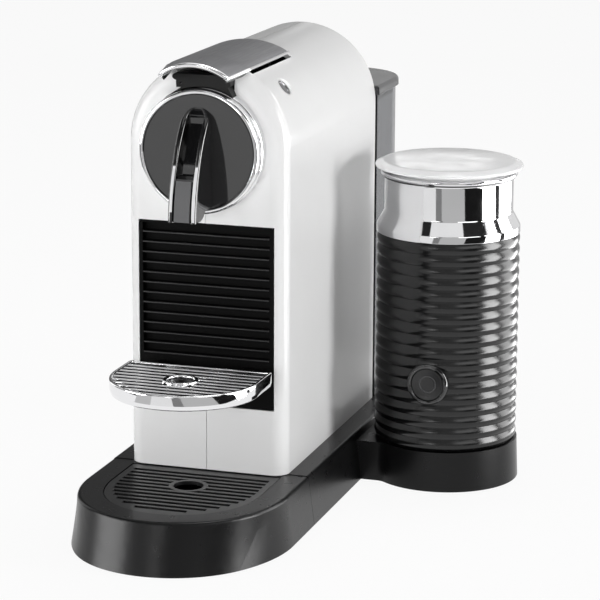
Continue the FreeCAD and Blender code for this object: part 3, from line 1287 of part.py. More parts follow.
def build():
    """Every node by name."""
    shell = full_shell()
    nodes = {
        "drip_base": drip_base(), "drip_grid": drip_grid(), "base_chassis": base_chassis(),
        "base_plate": base_plate(), "base_screws": base_screws(), "rubber_feet": rubber_feet(),
        "cord_gland": cord_gland(), "shell_left": half_shell(shell, -1), "shell_right": half_shell(shell, 1),
        "rear_cover": rear_cover(), "head_ring": head_ring(), "head_disc": head_disc(), "spout": spout(),
        "spout_insert": spout_insert(), "lever_frame": lever_frame(), "lever_inlay": lever_inlay(),
        "lever_pin": lever_pin(), "capsule_deck": capsule_deck(), "brew_housing": brew_housing(),
        "pierce_plate": pierce_plate(), "capsule_cage": capsule_cage(),
        "button_left": shoulder_button(-1), "button_right": shoulder_button(1),
        "button_guides": Part.makeCompound([button_guide(-1), button_guide(1)]),
        "drawer_bay": drawer_bay(), "drawer_front": drawer_front(), "capsule_bin": capsule_bin(),
        "cup_tray": cup_tray(), "cup_hinge_pins": cup_hinge_pins(), "cup_grid": cup_grid(),
        "water_tank": water_tank(), "tank_valve": tank_valve(), "tank_lid": tank_lid(),
        "inlet_spigot": inlet_spigot(), "service_frame": service_frame(), "heater_block": heater_block(),
        "water_pump": water_pump(), "pump_mounts": pump_mounts(), "control_board": control_board(),
        "flow_meter": flow_meter(), "brew_hose": brew_hose(), "pump_hose": pump_hose(),
        "suction_hoses": suction_hoses(),
        "frother_dock": frother_dock(), "dock_plate": dock_plate(), "dock_plug": dock_plug(),
        "frother_sleeve": frother_sleeve(), "frother_collar": frother_collar(), "frother_cup": frother_cup(),
        "frother_floor": frother_floor(), "frother_socket": frother_socket(),
        "frother_motor": frother_motor(), "drive_magnet": drive_magnet(), "heater_ring": heater_ring(),
        "frother_whisk": frother_whisk(), "frother_lid": frother_lid(), "lid_seal": lid_seal(),
        "frother_bezel": frother_bezel(), "frother_button": frother_button(),
        "frother_switch": frother_switch(),
    }
    return nodes


CENTRE_X = (JUG_X + DOCK_R - BASE_HALF_W) / 2
CENTRE_Y = (NOSE_TIP_Y - NOSE_LEAN + BACK_Y) / 2

os.makedirs("parts", exist_ok=True)
for name, shape in build().items():
    shape.translate(Vector(-CENTRE_X, -CENTRE_Y, 0))
    shape.exportStep("parts/" + name + ".step")
    print(name, shape.isValid(), len(shape.Solids), round(shape.Volume), round(shape.BoundBox.ZMax, 2))
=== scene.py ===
import bmesh
import bpy
import json
import math
import numpy as np
from mathutils import Matrix, Vector

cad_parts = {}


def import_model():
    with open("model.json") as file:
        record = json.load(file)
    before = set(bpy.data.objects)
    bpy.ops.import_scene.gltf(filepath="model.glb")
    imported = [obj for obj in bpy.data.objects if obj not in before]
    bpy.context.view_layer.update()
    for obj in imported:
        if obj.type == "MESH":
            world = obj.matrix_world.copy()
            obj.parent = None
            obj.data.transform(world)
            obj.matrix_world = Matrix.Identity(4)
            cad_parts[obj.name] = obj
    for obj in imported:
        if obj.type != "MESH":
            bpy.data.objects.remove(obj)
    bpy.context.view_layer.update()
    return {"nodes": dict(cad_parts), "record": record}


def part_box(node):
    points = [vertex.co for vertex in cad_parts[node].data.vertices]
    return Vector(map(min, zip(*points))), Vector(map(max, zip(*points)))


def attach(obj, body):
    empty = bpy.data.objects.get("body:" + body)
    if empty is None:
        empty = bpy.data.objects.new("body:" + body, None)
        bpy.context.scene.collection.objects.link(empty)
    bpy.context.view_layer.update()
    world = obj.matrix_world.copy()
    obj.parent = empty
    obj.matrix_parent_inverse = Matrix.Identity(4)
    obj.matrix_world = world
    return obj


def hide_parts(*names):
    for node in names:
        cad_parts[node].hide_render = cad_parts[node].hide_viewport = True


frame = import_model()
nodes = frame["nodes"]

# Pod coffee machine with a docked milk frother. Sizes below are millimetres in
# the machine's own axes: x from its centre plane, y back from the body's flat
# front, z up from the worktop. The frame gives where those axes lie.
MM = 0.001
X_AXIS = (1, 0, 0)
Y_AXIS = (0, 1, 0)
Z_AXIS = (0, 0, 1)
ring_low, ring_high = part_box("head_ring")
MID_X = (ring_low.x + ring_high.x) / 2
FRONT_Y = ring_high.y


def span(node):
    """A node's lowest and highest corner in machine millimetres."""
    low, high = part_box(node)
    shift = np.array([MID_X, FRONT_Y, 0])
    return (np.array(low) - shift) / MM, (np.array(high) - shift) / MM


def place(x, y, z):
    """Machine millimetres to frame metres, as one array of points."""
    x, y, z = np.broadcast_arrays(x, y, z)
    return np.stack([MID_X + x * MM, FRONT_Y + y * MM, z * MM], -1)


# Finishes

# Most of a noise pattern lies between these two values.
NOISE_LOW = 0.3
NOISE_HIGH = 0.7
PLASTIC_IOR = 1.49


def finish(name, colour, rough, metal=0.0, coat=0.0, spec=0.5):
    """A principled material with its even values set on the shader itself."""
    mat = bpy.data.materials.new(name)
    mat.use_nodes = True
    shader = mat.node_tree.nodes["Principled BSDF"]
    shader.inputs["Base Color"].default_value = (*colour, 1)
    shader.inputs["Roughness"].default_value = rough
    shader.inputs["Metallic"].default_value = metal
    shader.inputs["Coat Weight"].default_value = coat
    shader.inputs["Specular IOR Level"].default_value = spec
    return mat, shader


def noise(mat, scale, detail=3.0, stretch=(1, 1, 1)):
    """Noise on the piece's own coordinates, stretched along its axes."""
    tree = mat.node_tree
    where = tree.nodes.new("ShaderNodeTexCoord")
    turn = tree.nodes.new("ShaderNodeMapping")
    turn.inputs["Scale"].default_value = stretch
    cloud = tree.nodes.new("ShaderNodeTexNoise")
    cloud.inputs["Scale"].default_value = scale
    cloud.inputs["Detail"].default_value = detail
    tree.links.new(where.outputs["Object"], turn.inputs["Vector"])
    tree.links.new(turn.outputs["Vector"], cloud.inputs["Vector"])
    return cloud.outputs["Fac"]


def vary(mat, shader, source, rough, least, most):
    """Spreads a pattern between two shares of a roughness and feeds the shader."""
    tree = mat.node_tree
    reach = tree.nodes.new("ShaderNodeMapRange")
    reach.inputs["From Min"].default_value = NOISE_LOW
    reach.inputs["From Max"].default_value = NOISE_HIGH
    reach.inputs["To Min"].default_value = rough * least
    reach.inputs["To Max"].default_value = rough * most
    tree.links.new(source, reach.inputs["Value"])
    tree.links.new(reach.outputs["Result"], shader.inputs["Roughness"])


def tint(mat, shader, source, colour, shade):
    """Blends a colour with a darker share of itself by a pattern and feeds the shader."""
    tree = mat.node_tree
    ramp = tree.nodes.new("ShaderNodeValToRGB")
    dark, light = ramp.color_ramp.elements
    dark.position = NOISE_LOW
    dark.color = (*(c * shade for c in colour), 1)
    light.position = NOISE_HIGH
    light.color = (*colour, 1)
    tree.links.new(source, ramp.inputs["Fac"])
    tree.links.new(ramp.outputs["Color"], shader.inputs["Base Color"])


def relief(mat, shader, source, height, strength):
    """Turns a pattern into bump of a real height in metres."""
    tree = mat.node_tree
    bump = tree.nodes.new("ShaderNodeBump")
    bump.inputs["Distance"].default_value = height
    bump.inputs["Strength"].default_value = strength
    tree.links.new(source, bump.inputs["Height"])
    tree.links.new(bump.outputs["Normal"], shader.inputs["Normal"])


def gloss_moulding(name, colour, rough, coat=0.0, spec=0.5):
    """Polished moulded plastic: faint waviness, drifting gloss and tone."""
    mat, shader = finish(name, colour, rough, coat=coat, spec=spec)
    tint(mat, shader, noise(mat, scale=14), colour, shade=0.98)
    vary(mat, shader, noise(mat, scale=60), rough, least=0.95, most=1.06)
    relief(mat, shader, noise(mat, scale=90, detail=1.0), height=0.00004, strength=0.25)
    return mat


def satin_moulding(name, colour, rough, spec=0.5):
    """Fine spark-eroded plastic: small even grain and slightly uneven sheen."""
    mat, shader = finish(name, colour, rough, spec=spec)
    tint(mat, shader, noise(mat, scale=30), colour, shade=0.85)
    vary(mat, shader, noise(mat, scale=120), rough, least=0.97, most=1.04)
    relief(mat, shader, noise(mat, scale=2600, detail=2.0), height=0.00003, strength=0.5)
    return mat


def bright_plating(name, colour, rough):
    """Plated metal: mirror bright, with faint haze and wipe marks."""
    mat, shader = finish(name, colour, rough, metal=1.0)
    tint(mat, shader, noise(mat, scale=40), colour, shade=0.95)
    wipes = noise(mat, scale=220, detail=4.0, stretch=(1, 0.2, 1))
    vary(mat, shader, wipes, rough, least=0.5, most=1.6)
    relief(mat, shader, noise(mat, scale=70, detail=1.0), height=0.00002, strength=0.15)
    return mat


def brushed_coat(name, colour, rough):
    """Satin metallic paint with a fine grain drawn along the lever."""
    mat, shader = finish(name, colour, rough, metal=0.35, coat=0.15)
    tint(mat, shader, noise(mat, scale=25), colour, shade=0.85)
    sheen = noise(mat, scale=900, stretch=(1, 0.06, 1))
    vary(mat, shader, sheen, rough, least=0.85, most=1.2)
    grain = noise(mat, scale=1500, detail=2.0, stretch=(1, 0.05, 1))
    relief(mat, shader, grain, height=0.00001, strength=0.3)
    return mat


def clear_moulding(name, colour, rough, weight=1.0):
    """See-through moulded plastic with a faint ripple."""
    mat, shader = finish(name, colour, rough)
    shader.inputs["Transmission Weight"].default_value = weight
    shader.inputs["IOR"].default_value = PLASTIC_IOR
    vary(mat, shader, noise(mat, scale=80), rough, least=0.6, most=1.6)
    relief(mat, shader, noise(mat, scale=60, detail=1.0), height=0.00003, strength=0.2)
    return mat


def raw_metal(name, colour, rough):
    """Plain machined or cast metal with grain and dull patches."""
    mat, shader = finish(name, colour, rough, metal=1.0)
    tint(mat, shader, noise(mat, scale=70), colour, shade=0.8)
    vary(mat, shader, noise(mat, scale=300), rough, least=0.8, most=1.3)
    relief(mat, shader, noise(mat, scale=900, detail=2.0), height=0.00004, strength=0.4)
    return mat


FINISHES = {
    "shell_white": gloss_moulding("gloss_white_shell", (0.80, 0.80, 0.80), rough=0.22, spec=0.22),
    "base_black": satin_moulding("satin_black_base", (0.003, 0.003, 0.0033), rough=0.28, spec=0.23),
    "inner_black": satin_moulding("matt_black_inside", (0.004, 0.004, 0.004), rough=0.5, spec=0.2),
    "grid_black": satin_moulding("satin_black_grid", (0.007, 0.007, 0.0075), rough=0.3),
    "gloss_black": gloss_moulding("gloss_black_spout", (0.006, 0.006, 0.0065), rough=0.07, coat=0.3,
                                  spec=0.8),
    "disc_grey": gloss_moulding("gloss_grey_disc", (0.012, 0.012, 0.0125), rough=0.05, spec=1.0),
    "insert_grey": gloss_moulding("grey_spout_strip", (0.10, 0.10, 0.104), rough=0.25),
    "bright_chrome": bright_plating("bright_plating", (0.86, 0.86, 0.87), rough=0.05),
    "lever_grey": brushed_coat("satin_grey_lever", (0.19, 0.19, 0.20), rough=0.38),
    "steel": raw_metal("plain_steel", (0.55, 0.55, 0.56), rough=0.3),
    "cast_alloy": raw_metal("cast_alloy", (0.5, 0.5, 0.51), rough=0.5),
    "pump_can": satin_moulding("painted_can", (0.10, 0.10, 0.11), rough=0.45),
    "board_green": satin_moulding("board_laminate", (0.02, 0.09, 0.03), rough=0.45),
    "hose_clear": satin_moulding("silicone_hose", (0.55, 0.55, 0.52), rough=0.4),
    "soft_black": satin_moulding("black_rubber", (0.015, 0.015, 0.015), rough=0.7),
    "tank_clear": clear_moulding("smoky_tank", (0.36, 0.365, 0.38), rough=0.06),
    "lid_clear": clear_moulding("clear_lid", (0.96, 0.97, 0.98), rough=0.06),
    "lid_dark": gloss_moulding("dark_tank_lid", (0.03, 0.03, 0.032), rough=0.25),
    "cup_coat": satin_moulding("non_stick_coat", (0.03, 0.03, 0.03), rough=0.4),
    "sleeve_black": satin_moulding("satin_black_sleeve", (0.002, 0.002, 0.0022), rough=0.2),
    "lid_milky": clear_moulding("milky_clear_lid", (0.98, 0.98, 0.985), rough=0.12, weight=0.06),
    "lid_boss": satin_moulding("white_lid_boss", (0.7, 0.7, 0.71), rough=0.4),
    # A lighter copy of the grille's black for the rib fronts: painted highlight.
    "rib_highlight": satin_moulding("painted_rib_highlight", (0.014, 0.014, 0.015), rough=0.35),
    "grille_black": satin_moulding("deep_black_grille", (0.002, 0.002, 0.002), rough=0.4, spec=0.06),
    "ring_dark": gloss_moulding("dark_button_ring", (0.045, 0.045, 0.047), rough=0.2),
    "button_dark": gloss_moulding("dark_button_face", (0.008, 0.008, 0.0085), rough=0.3),
    "button_metal": bright_plating("dark_bright_button", (0.16, 0.16, 0.165), rough=0.2),
    "button_pale": gloss_moulding("silver_button", (0.40, 0.40, 0.41), rough=0.25, coat=0.3),
}

for part in frame["record"]["subparts"]:
    mesh = nodes[part["node"]].data
    mesh.materials.clear()
    mesh.materials.append(FINISHES[part["material_slot"]])
nodes["drawer_front"].data.materials[0] = FINISHES["grille_black"]


# Shapes

SHARP_ANGLE = math.radians(38)
MERGE_DIGITS = 7

# A thin bar has four rings: a point and a full ring at its start, the same at its end.
BAR_RUN = np.array([0.0, 0.0, 1.0, 1.0])[None, :, None]
BAR_BULK = np.array([0.0, 1.0, 1.0, 0.0])[None, :, None]


def piece(name, loops, coat, body, replaced, closed=False):
    """Joins rows of points into one skin: each row to the next and round each row. The last
    row meets the first when closed is set; else the first and the last get a flat cap."""
    rows, count = loops.shape[:2]
    index = np.arange(rows * count).reshape(rows, count)
    after = np.roll(index, -1, 0) if closed else index[1:]
    base = index if closed else index[:-1]
    quads = np.stack([base, after, np.roll(after, -1, 1), np.roll(base, -1, 1)], -1)
    caps = [] if closed else [index[0], index[-1][::-1]]
    solid_skin(name, loops.reshape(-1, 3), quads.reshape(-1, 4), caps, coat, body, replaced)


def thin_bars(name, grid, coat, body, replaced):
    """Many bars as one skin, from a grid of bars, rings and points round a ring: each ring is
    joined to the next of its own bar."""
    index = np.arange(grid[..., 0].size).reshape(grid.shape[:3])
    base, after = index[:, :-1], index[:, 1:]
    quads = np.stack([base, after, np.roll(after, -1, 2), np.roll(base, -1, 2)], -1)
    solid_skin(name, grid.reshape(-1, 3), quads.reshape(-1, 4), [], coat, body, replaced)


def solid_skin(name, points, quads, caps, coat, body, replaced):
    """Merges points that fall together, drops collapsed corners and makes the mesh."""
    _, first, where = np.unique(np.round(points, MERGE_DIGITS), axis=0, return_index=True,
                                return_inverse=True)
    where = where.reshape(-1)
    corners = where[quads]
    same = corners == np.roll(corners, -1, 1)
    merged = same.sum(1)
    faces = corners[merged == 0].tolist()
    faces += corners[merged == 1][~same[merged == 1]].reshape(-1, 3).tolist()
    for cap in caps:
        ring = where[cap]
        ring = ring[ring != np.roll(ring, -1)]
        if len(np.unique(ring)) == len(ring) and len(ring) > 2:
            faces.append(ring.tolist())
    mesh = bpy.data.meshes.new(name)
    mesh.from_pydata(points[first], [], faces)
    mesh.validate()
    mesh.update()
    face_outward(mesh)
    mesh.shade_smooth()
    mesh.set_sharp_from_angle(angle=SHARP_ANGLE)
    mesh.materials.append(FINISHES[coat])
    thing = bpy.data.objects.new(name, mesh)
    bpy.context.collection.objects.link(thing)
    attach(thing, body)
    for old in replaced:
        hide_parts(old)


def face_outward(mesh):
    """Turns every face outward."""
    work = bmesh.new()
    work.from_mesh(mesh)
    bmesh.ops.recalc_face_normals(work, faces=work.faces)
    work.to_mesh(mesh)
    work.free()


def rounded(corners, steps):
    """A closed outline from corners (u, v, radius): each corner is cut by an arc that
    touches both neighbours, sampled at even angles."""
    spots = np.array([c[:2] for c in corners], float)
    trail = []
    for spot, before, after, corner in zip(spots, np.roll(spots, 1, 0), np.roll(spots, -1, 0), corners):
        radius = corner[2]
        if radius == 0:
            trail.append(spot[None])
            continue
        a = (before - spot) / np.linalg.norm(before - spot)
        b = (after - spot) / np.linalg.norm(after - spot)
        half = math.acos(np.clip(a @ b, -1, 1)) / 2
        middle = spot + (a + b) / np.linalg.norm(a + b) * radius / math.sin(half)
        start = spot + a * radius / math.tan(half) - middle
        end = spot + b * radius / math.tan(half) - middle
        turn = math.atan2(start[0] * end[1] - start[1] * end[0], start @ end)
        angle = np.linspace(0, turn, steps + 1)[:, None]
        across = np.array([-start[1], start[0]])
        trail.append(middle + np.cos(angle) * start + np.sin(angle) * across)
    return np.concatenate(trail)


def turned(outline, centre, axis, side, steps):
    """Turns an outline of (radius, height) about an axis: each point goes round a
    circle of its radius at its height."""
    axis = np.array(axis, float)
    side = np.array(side, float)
    other = np.cross(axis, side)
    angle = np.linspace(0, 2 * math.pi, steps, endpoint=False)[:, None, None]
    radius = outline[None, :, 0, None]
    height = outline[None, :, 1, None]
    spots = np.array(centre) + axis * height + radius * (side * np.cos(angle) + other * np.sin(angle))
    return place(spots[..., 0], spots[..., 1], spots[..., 2])


def step_up(value, start, end):
    """A smooth step from 0 at start to 1 at end."""
    t = np.clip((value - start) / (end - start), 0, 1)
    return t * t * (3 - 2 * t)


# Head: ring and spout

RING_GAP = 0.2
RING_LINE_DEPTH = 2.2
RING_INNER_STEP = 0.5
disc_low, disc_high = span("head_disc")
spout_low, spout_high = span("spout")
SPOUT_ROOT_Y = disc_low[1]
SPOUT_BELLY_Y = -28.4
SPOUT_BELLY_Z = 229.8
RIDGE_CROWN = 1.9
CHANNEL_HALF_W = 5.0
CHANNEL_DEPTH = 5.6
CHANNEL_SHARE = 0.62
STRIP_TOP_Z = 211.0
STRIP_SEAT = 0.9
STRIP_SINK = 0.55
STRIP_T = 0.8
STRIP_GAP = 0.35
TIP_CUT_HIGH = 4.5
TIP_CUT_START = 12.5
TIP_CUT_END = 15.0
# Sizes of the bright chrome lines that stand in for the glints on the spout's ridges: painted highlight.
HIGHLIGHT_HALF_W = 0.75
HIGHLIGHT_FADE = 0.85
HIGHLIGHT_OFFSET = 0.2
HIGHLIGHT_END = 9
HIGHLIGHT_FADE_START = 30


def ring_bands():
    """The two-band bright ring, turned from a rounded section with a dark line cut between."""
    low, high = span("head_ring")
    centre = (0, 0, (low[2] + high[2]) / 2)
    rim, front = high[0], low[1]
    bore = disc_high[0] + RING_GAP
    line = rim - RING_LINE_DEPTH
    inner = rim - RING_INNER_STEP
    section = rounded([(bore, 0, 0), (rim, 0, 0), (rim, -6.6, 1.6), (line, -6.9, 0.4), (line, -7.7, 0.4),
                       (inner, -7.9, 0.5), (inner, front, 2.0), (bore, front, 1.2)], 8)
    ring = turned(section, centre, Y_AXIS, X_AXIS, 200)
    piece("ring_bands", ring, "bright_chrome", "machine", ["head_ring"], closed=True)


def spout_front(z):
    """How far forward the spout's ridge lies at a height: an arc through root, belly and tip."""
    points = np.array([(SPOUT_ROOT_Y, spout_high[2]), (SPOUT_BELLY_Y, SPOUT_BELLY_Z),
                       (spout_low[1], spout_low[2])])
    rows = np.column_stack([2 * points, np.ones(3)])
    middle_y, middle_z, rest = np.linalg.solve(rows, (points ** 2).sum(1))
    radius = math.sqrt(rest + middle_y ** 2 + middle_z ** 2)
    reach = np.sqrt(radius ** 2 - (z - middle_z) ** 2)
    return np.minimum(middle_y - np.sign(middle_y - spout_low[1]) * reach, SPOUT_ROOT_Y)


def spout_beak():
    """The beak: level by level from tip to top, a section with two rounded ridges beside
    a channel; its width closes in a half round at the top, its depth follows the front arc."""
    tip_y, foot, top, wide = spout_low[1], spout_low[2], spout_high[2], spout_high[0]
    near_tip = np.linspace(0, 0.12, 6)
    along = np.linspace(0.14, 0.85, 70)
    near_top = 1 - 0.15 * np.linspace(0.97, 0, 30) ** 2
    z = (foot + np.concatenate([near_tip, along, near_top]) * (top - foot))[:, None]
    half_round = np.sqrt(np.clip(wide ** 2 - (z - top + wide) ** 2, 0, None))
    half = np.where(z > top - wide, half_round, wide)
    front = spout_front(z)
    deep = SPOUT_ROOT_Y - front
    inner = np.minimum(CHANNEL_HALF_W, half * CHANNEL_SHARE)
    crown = np.minimum(RIDGE_CROWN, 0.5 * deep)
    opens = step_up(z, STRIP_TOP_Z, STRIP_TOP_Z + 2)
    closes = step_up(z, top - 8, top - 3)
    sink = STRIP_SEAT + CHANNEL_DEPTH * opens * (1 - closes)
    sink = np.clip(sink, crown, np.maximum(0.75 * deep, crown))
    swing = np.linspace(0, math.pi, 13)[None, :]
    ridge_x = -(half + inner) / 2 - (half - inner) / 2 * np.cos(swing)
    ridge_y = front + crown * (1 - np.sin(swing))
    floor_x = np.linspace(-1, 1, 9)[None, :] * inner * 0.97
    floor_y = np.broadcast_to(front + sink, floor_x.shape)
    wall = np.linspace(0, 1, 8)[None, :-1]
    side_x = -half * np.ones_like(wall)
    side_y = SPOUT_ROOT_Y + (front + crown - SPOUT_ROOT_Y) * wall
    x = np.concatenate([side_x, ridge_x, floor_x, -ridge_x[:, ::-1], -side_x[:, ::-1]], 1)
    y = np.concatenate([side_y, ridge_y, floor_y, ridge_y[:, ::-1], side_y[:, ::-1]], 1)
    under = foot + TIP_CUT_HIGH * step_up(y, tip_y + TIP_CUT_START, tip_y + TIP_CUT_END)
    beak = place(x, y, np.maximum(z, under))
    piece("spout_beak", beak, "gloss_black", "machine", ["spout"])


def spout_strip():
    """The grey strip low in the channel: a thin plate whose face follows the front arc."""
    z = np.linspace(spout_low[2] + 0.3, STRIP_TOP_Z - 0.2, 40)[:, None]
    face = np.linspace(-1, 1, 12)[None, :] * (CHANNEL_HALF_W - STRIP_GAP)
    x = np.concatenate([face, face[:, ::-1]], 1)
    thick = np.repeat([0.0, STRIP_T], face.size)
    strip = place(x, spout_front(z) + STRIP_SINK + thick, z)
    piece("spout_strip", strip, "insert_grey", "machine", ["spout_insert"])


def spout_highlight_lines():
    """Painted highlight: a thin bright chrome line along each ridge of the spout stands in for the ridge's
    glint on the gloss black, narrowed towards its top by a smooth step.
    """
    section = np.array([(-1, 0.5), (-1, -0.06), (1, -0.06), (1, 0.5)])
    ridge = (spout_high[0] + CHANNEL_HALF_W) / 2
    end = spout_high[2] - HIGHLIGHT_END
    for name, side, start in (("spout_highlight_left", -1, 6.0), ("spout_highlight_right", 1, 0.8)):
        z = np.linspace(spout_low[2] + start, end, 60)[:, None]
        half = HIGHLIGHT_HALF_W * (1 - HIGHLIGHT_FADE * step_up(z, spout_high[2] - HIGHLIGHT_FADE_START, end))
        x = side * ridge + HIGHLIGHT_OFFSET + half * section[None, :, 0]
        line = place(x, spout_front(z) + section[None, :, 1], z)
        piece(name, line, "bright_chrome", "machine", [])


THROAT_GAP = 0.15
THROAT_FROM = 31
THROAT_TO = -38
THROAT_FRONT_Y = -7.3
THROAT_BACK_Y = -0.05


def throat():
    """The black bridge between the ring and the lever: its underside follows the ring's round,
    its left side draws in to a waist and opens again below the lever."""
    low, high = span("head_ring")
    middle = (low[2] + high[2]) / 2
    sweep = np.radians(np.linspace(THROAT_FROM, THROAT_TO, 40))
    under = (high[0] + THROAT_GAP) * np.column_stack([np.sin(sweep), np.cos(sweep)])
    over = rounded([(-14.6, 37.2, 1.5), (-12.4, 39.0, 1.2), (-17.6, 41.2, 1.6), (-17.2, 43.8, 1.4),
                    (17.4, 43.8, 1.6), (18.0, 37.2, 1.6)], 6)
    outline = np.concatenate([under, over])
    y = np.array([THROAT_FRONT_Y, THROAT_BACK_Y])[:, None]
    bridge = place(outline[None, :, 0], y, middle + outline[None, :, 1])
    piece("throat_bridge", bridge, "inner_black", "machine", [])


# Lever

lever_low, lever_high = span("lever_frame")
shell_high = span("shell_right")[1]
ARCH_Z = shell_high[2] - shell_high[0]
LEVER_UNDER_R = shell_high[0] + 1.0
LEVER_HALF_ANGLE = math.radians(30.0)
LEVER_T = 1.6
LEVER_HALF_W = LEVER_HALF_ANGLE * (LEVER_UNDER_R + LEVER_T)
LEVER_FRONT_Y = lever_low[1] + 1.3
LEVER_REAR_Y = lever_high[1]
KNEE_Y = 5.0
LIP_R = 33.0
LIP_HALF_W = 21.5
LIP_ANGLE = math.asin(LIP_HALF_W / LIP_R)
LIP_TOP_Z = 275.6
LIP_HIGH = 3.2
LIP_DEEP = 4.0
LIP_TILT = 0.5
LIP_SET_BACK = 0.4
LIP_BULGE = 2.5
LIP_OVERRUN = 1.1
# Sizes of the black fins that stand in for the shadow gap under the lever's edges: painted shadow.
SHADOW_FIN_TOP = -0.35
SHADOW_FIN_LEAST = 0.4
SHADOW_FIN_DROP = 2.0
SHADOW_FIN_OUTER = 0.7
SHADOW_FIN_INNER = 1.9
SHADOW_FIN_END_Y = 9.0
TOP_MARGIN = 1.75
TOP_RISE = 0.35
TOP_SEAT = 0.25


def arched(across, height, y):
    """The lever's points from a share across (-1 to 1), a height over its underside and y: the
    body's arch and the lip's tighter arch are blended evenly between the knee and the front,
    which bulges by the square of that share, most in the middle."""
    share = np.clip((KNEE_Y - y) / (KNEE_Y - LEVER_FRONT_Y), 0, LIP_OVERRUN)
    wide = LEVER_UNDER_R + height
    tight = LIP_R - LEVER_T + height
    wide_turn = across * LEVER_HALF_ANGLE
    tight_turn = across * LIP_ANGLE
    x = (1 - share) * wide * np.sin(wide_turn) + share * tight * np.sin(tight_turn)
    z = ((1 - share) * (ARCH_Z + wide * np.cos(wide_turn))
         + share * (LIP_TOP_Z - LIP_R + tight * np.cos(tight_turn)))
    return place(x, y - LIP_BULGE * share ** 2 * (1 - across ** 2), z)


def along_lever(front, rear):
    """Places along the lever: close together before the knee, where it bends, wider behind."""
    return np.concatenate([np.linspace(front, KNEE_Y, 20), np.linspace(KNEE_Y + 3, rear, 24)])[:, None]


def lever_plate():
    """The bright plate: a thin section with a raised line along both edges, carried along the
    arch of the body and then narrowing and drooping to the front."""
    wide, line, seat = LEVER_HALF_W, LEVER_T + 0.2, LEVER_T - 0.3
    edge = rounded([(-wide, -0.4, 0.5), (wide, -0.4, 0.5), (wide, line, 0.7), (wide - 1.6, line, 0.3),
                    (wide - 1.9, seat, 0.2), (1.9 - wide, seat, 0.2), (1.6 - wide, line, 0.3),
                    (-wide, line, 0.7)], 5)
    steps = np.linspace(0, 1, 14)[:-1, None]
    loop = np.concatenate([a + (b - a) * steps for a, b in zip(edge, np.roll(edge, -1, 0))])
    plate = arched(loop[None, :, 0] / wide, loop[None, :, 1], along_lever(LEVER_FRONT_Y, LEVER_REAR_Y))
    piece("lever_plate", plate, "bright_chrome", "lever", ["lever_frame"])


def lever_lip():
    """The full rounded lip: an ellipse carried across the front, shrunk to a point at both ends
    by the root of one less a high power of the share across."""
    across = np.linspace(-1, 1, 90)[:, None]
    swell = np.clip(1 - np.abs(across) ** 14, 0.0, 1) ** 0.5
    turn = np.linspace(0, 2 * math.pi, 28, endpoint=False)[None, :]
    y = LEVER_FRONT_Y + LIP_SET_BACK - LIP_DEEP / 2 * np.cos(turn) * swell
    height = LEVER_T / 2 + LIP_HIGH / 2 * swell * np.sin(turn) + LIP_TILT * np.cos(turn) * swell
    piece("lever_lip", arched(across, height, y), "bright_chrome", "lever", [])


def lever_shadow_fins():
    """Painted shadow: two thin black fins under the lever's edges stand in for the shadow gap below them,
    hanging lower to the front by a smooth step.
    """
    y = np.linspace(LEVER_FRONT_Y + 2.5, SHADOW_FIN_END_Y, 24)[:, None]
    hang = SHADOW_FIN_TOP - SHADOW_FIN_LEAST - SHADOW_FIN_DROP * step_up(-y, -8.0, 0.0)
    top = np.full_like(hang, SHADOW_FIN_TOP)
    height = np.concatenate([top, hang, hang, top], 1)
    inset = np.array([SHADOW_FIN_OUTER, SHADOW_FIN_OUTER, SHADOW_FIN_INNER, SHADOW_FIN_INNER])[None, :]
    for name, side in (("lever_shadow_fin_left", -1), ("lever_shadow_fin_right", 1)):
        across = side * (1 - inset / LEVER_HALF_W)
        piece(name, arched(across, height, y), "gloss_black", "lever", [])


def lever_top():
    """The grey plate on the lever: flat, falling at its edges by a high power of the share across."""
    across = np.linspace(-1, 1, 40)[None, :] * (1 - TOP_MARGIN / LEVER_HALF_W)
    face = LEVER_T + TOP_RISE - TOP_RISE * np.abs(across / across.max()) ** 24
    height = np.concatenate([face, np.full_like(face, LEVER_T - TOP_SEAT)], 1)
    across = np.concatenate([across, across[:, ::-1]], 1)
    plate = arched(across, height, along_lever(LEVER_FRONT_Y + 1.2, LEVER_REAR_Y - 1.6))
    piece("lever_top", plate, "lever_grey", "lever", ["lever_inlay"])


# Cup tray

tray_low, tray_high = span("cup_tray")
grid_low, grid_high = span("cup_grid")
TRAY_HALF_W = tray_high[0]
TRAY_TIP_Y = tray_low[1]
TRAY_BACK_Y = tray_high[1]
TRAY_UNDER_Z = tray_low[2]
TRAY_TOP_Z = tray_high[2]
TRAY_WALL = 2.2
TRAY_CORNER_R = 3.0
TRAY_LEAST_R = 0.4
TRAY_SHELF_HIGH = 1.4
TRAY_SHELF_DEEP = 6
BACK_DROP = 0.8
GRID_PITCH = 6.2
BAR_W = 1.8
BAR_HIGH = 1.5
BAR_SINK = 0.5
BAR_BITE = 0.3
CUP_RING_R = 10.5
CUP_RING_W = 2.6
CUP_RING_RISE = 0.9
CUP_RING_FOOT = 4
CUP_RING_BITE = 1.2
CUP_RING_Y = (grid_low[1] + grid_high[1]) / 2


def tray_loop(inset):
    """The tray seen from above, a D moved inwards by the inset: a half round front, straight
    sides and a straight back with rounded corners."""
    half, tip, back = TRAY_HALF_W - inset, TRAY_TIP_Y + inset, TRAY_BACK_Y - inset
    middle = tip + half
    angle = np.linspace(0, -math.pi, 97)
    front = np.stack([half * np.cos(angle), middle + half * np.sin(angle)], -1)
    soft = max(TRAY_CORNER_R - inset, TRAY_LEAST_R)
    bend = np.linspace(math.pi, math.pi / 2, 7)
    left = np.stack([-half + soft + soft * np.cos(bend), back - soft + soft * np.sin(bend)], -1)
    right = np.stack([-left[::-1, 0], left[::-1, 1]], -1)
    return np.concatenate([front, left, right])


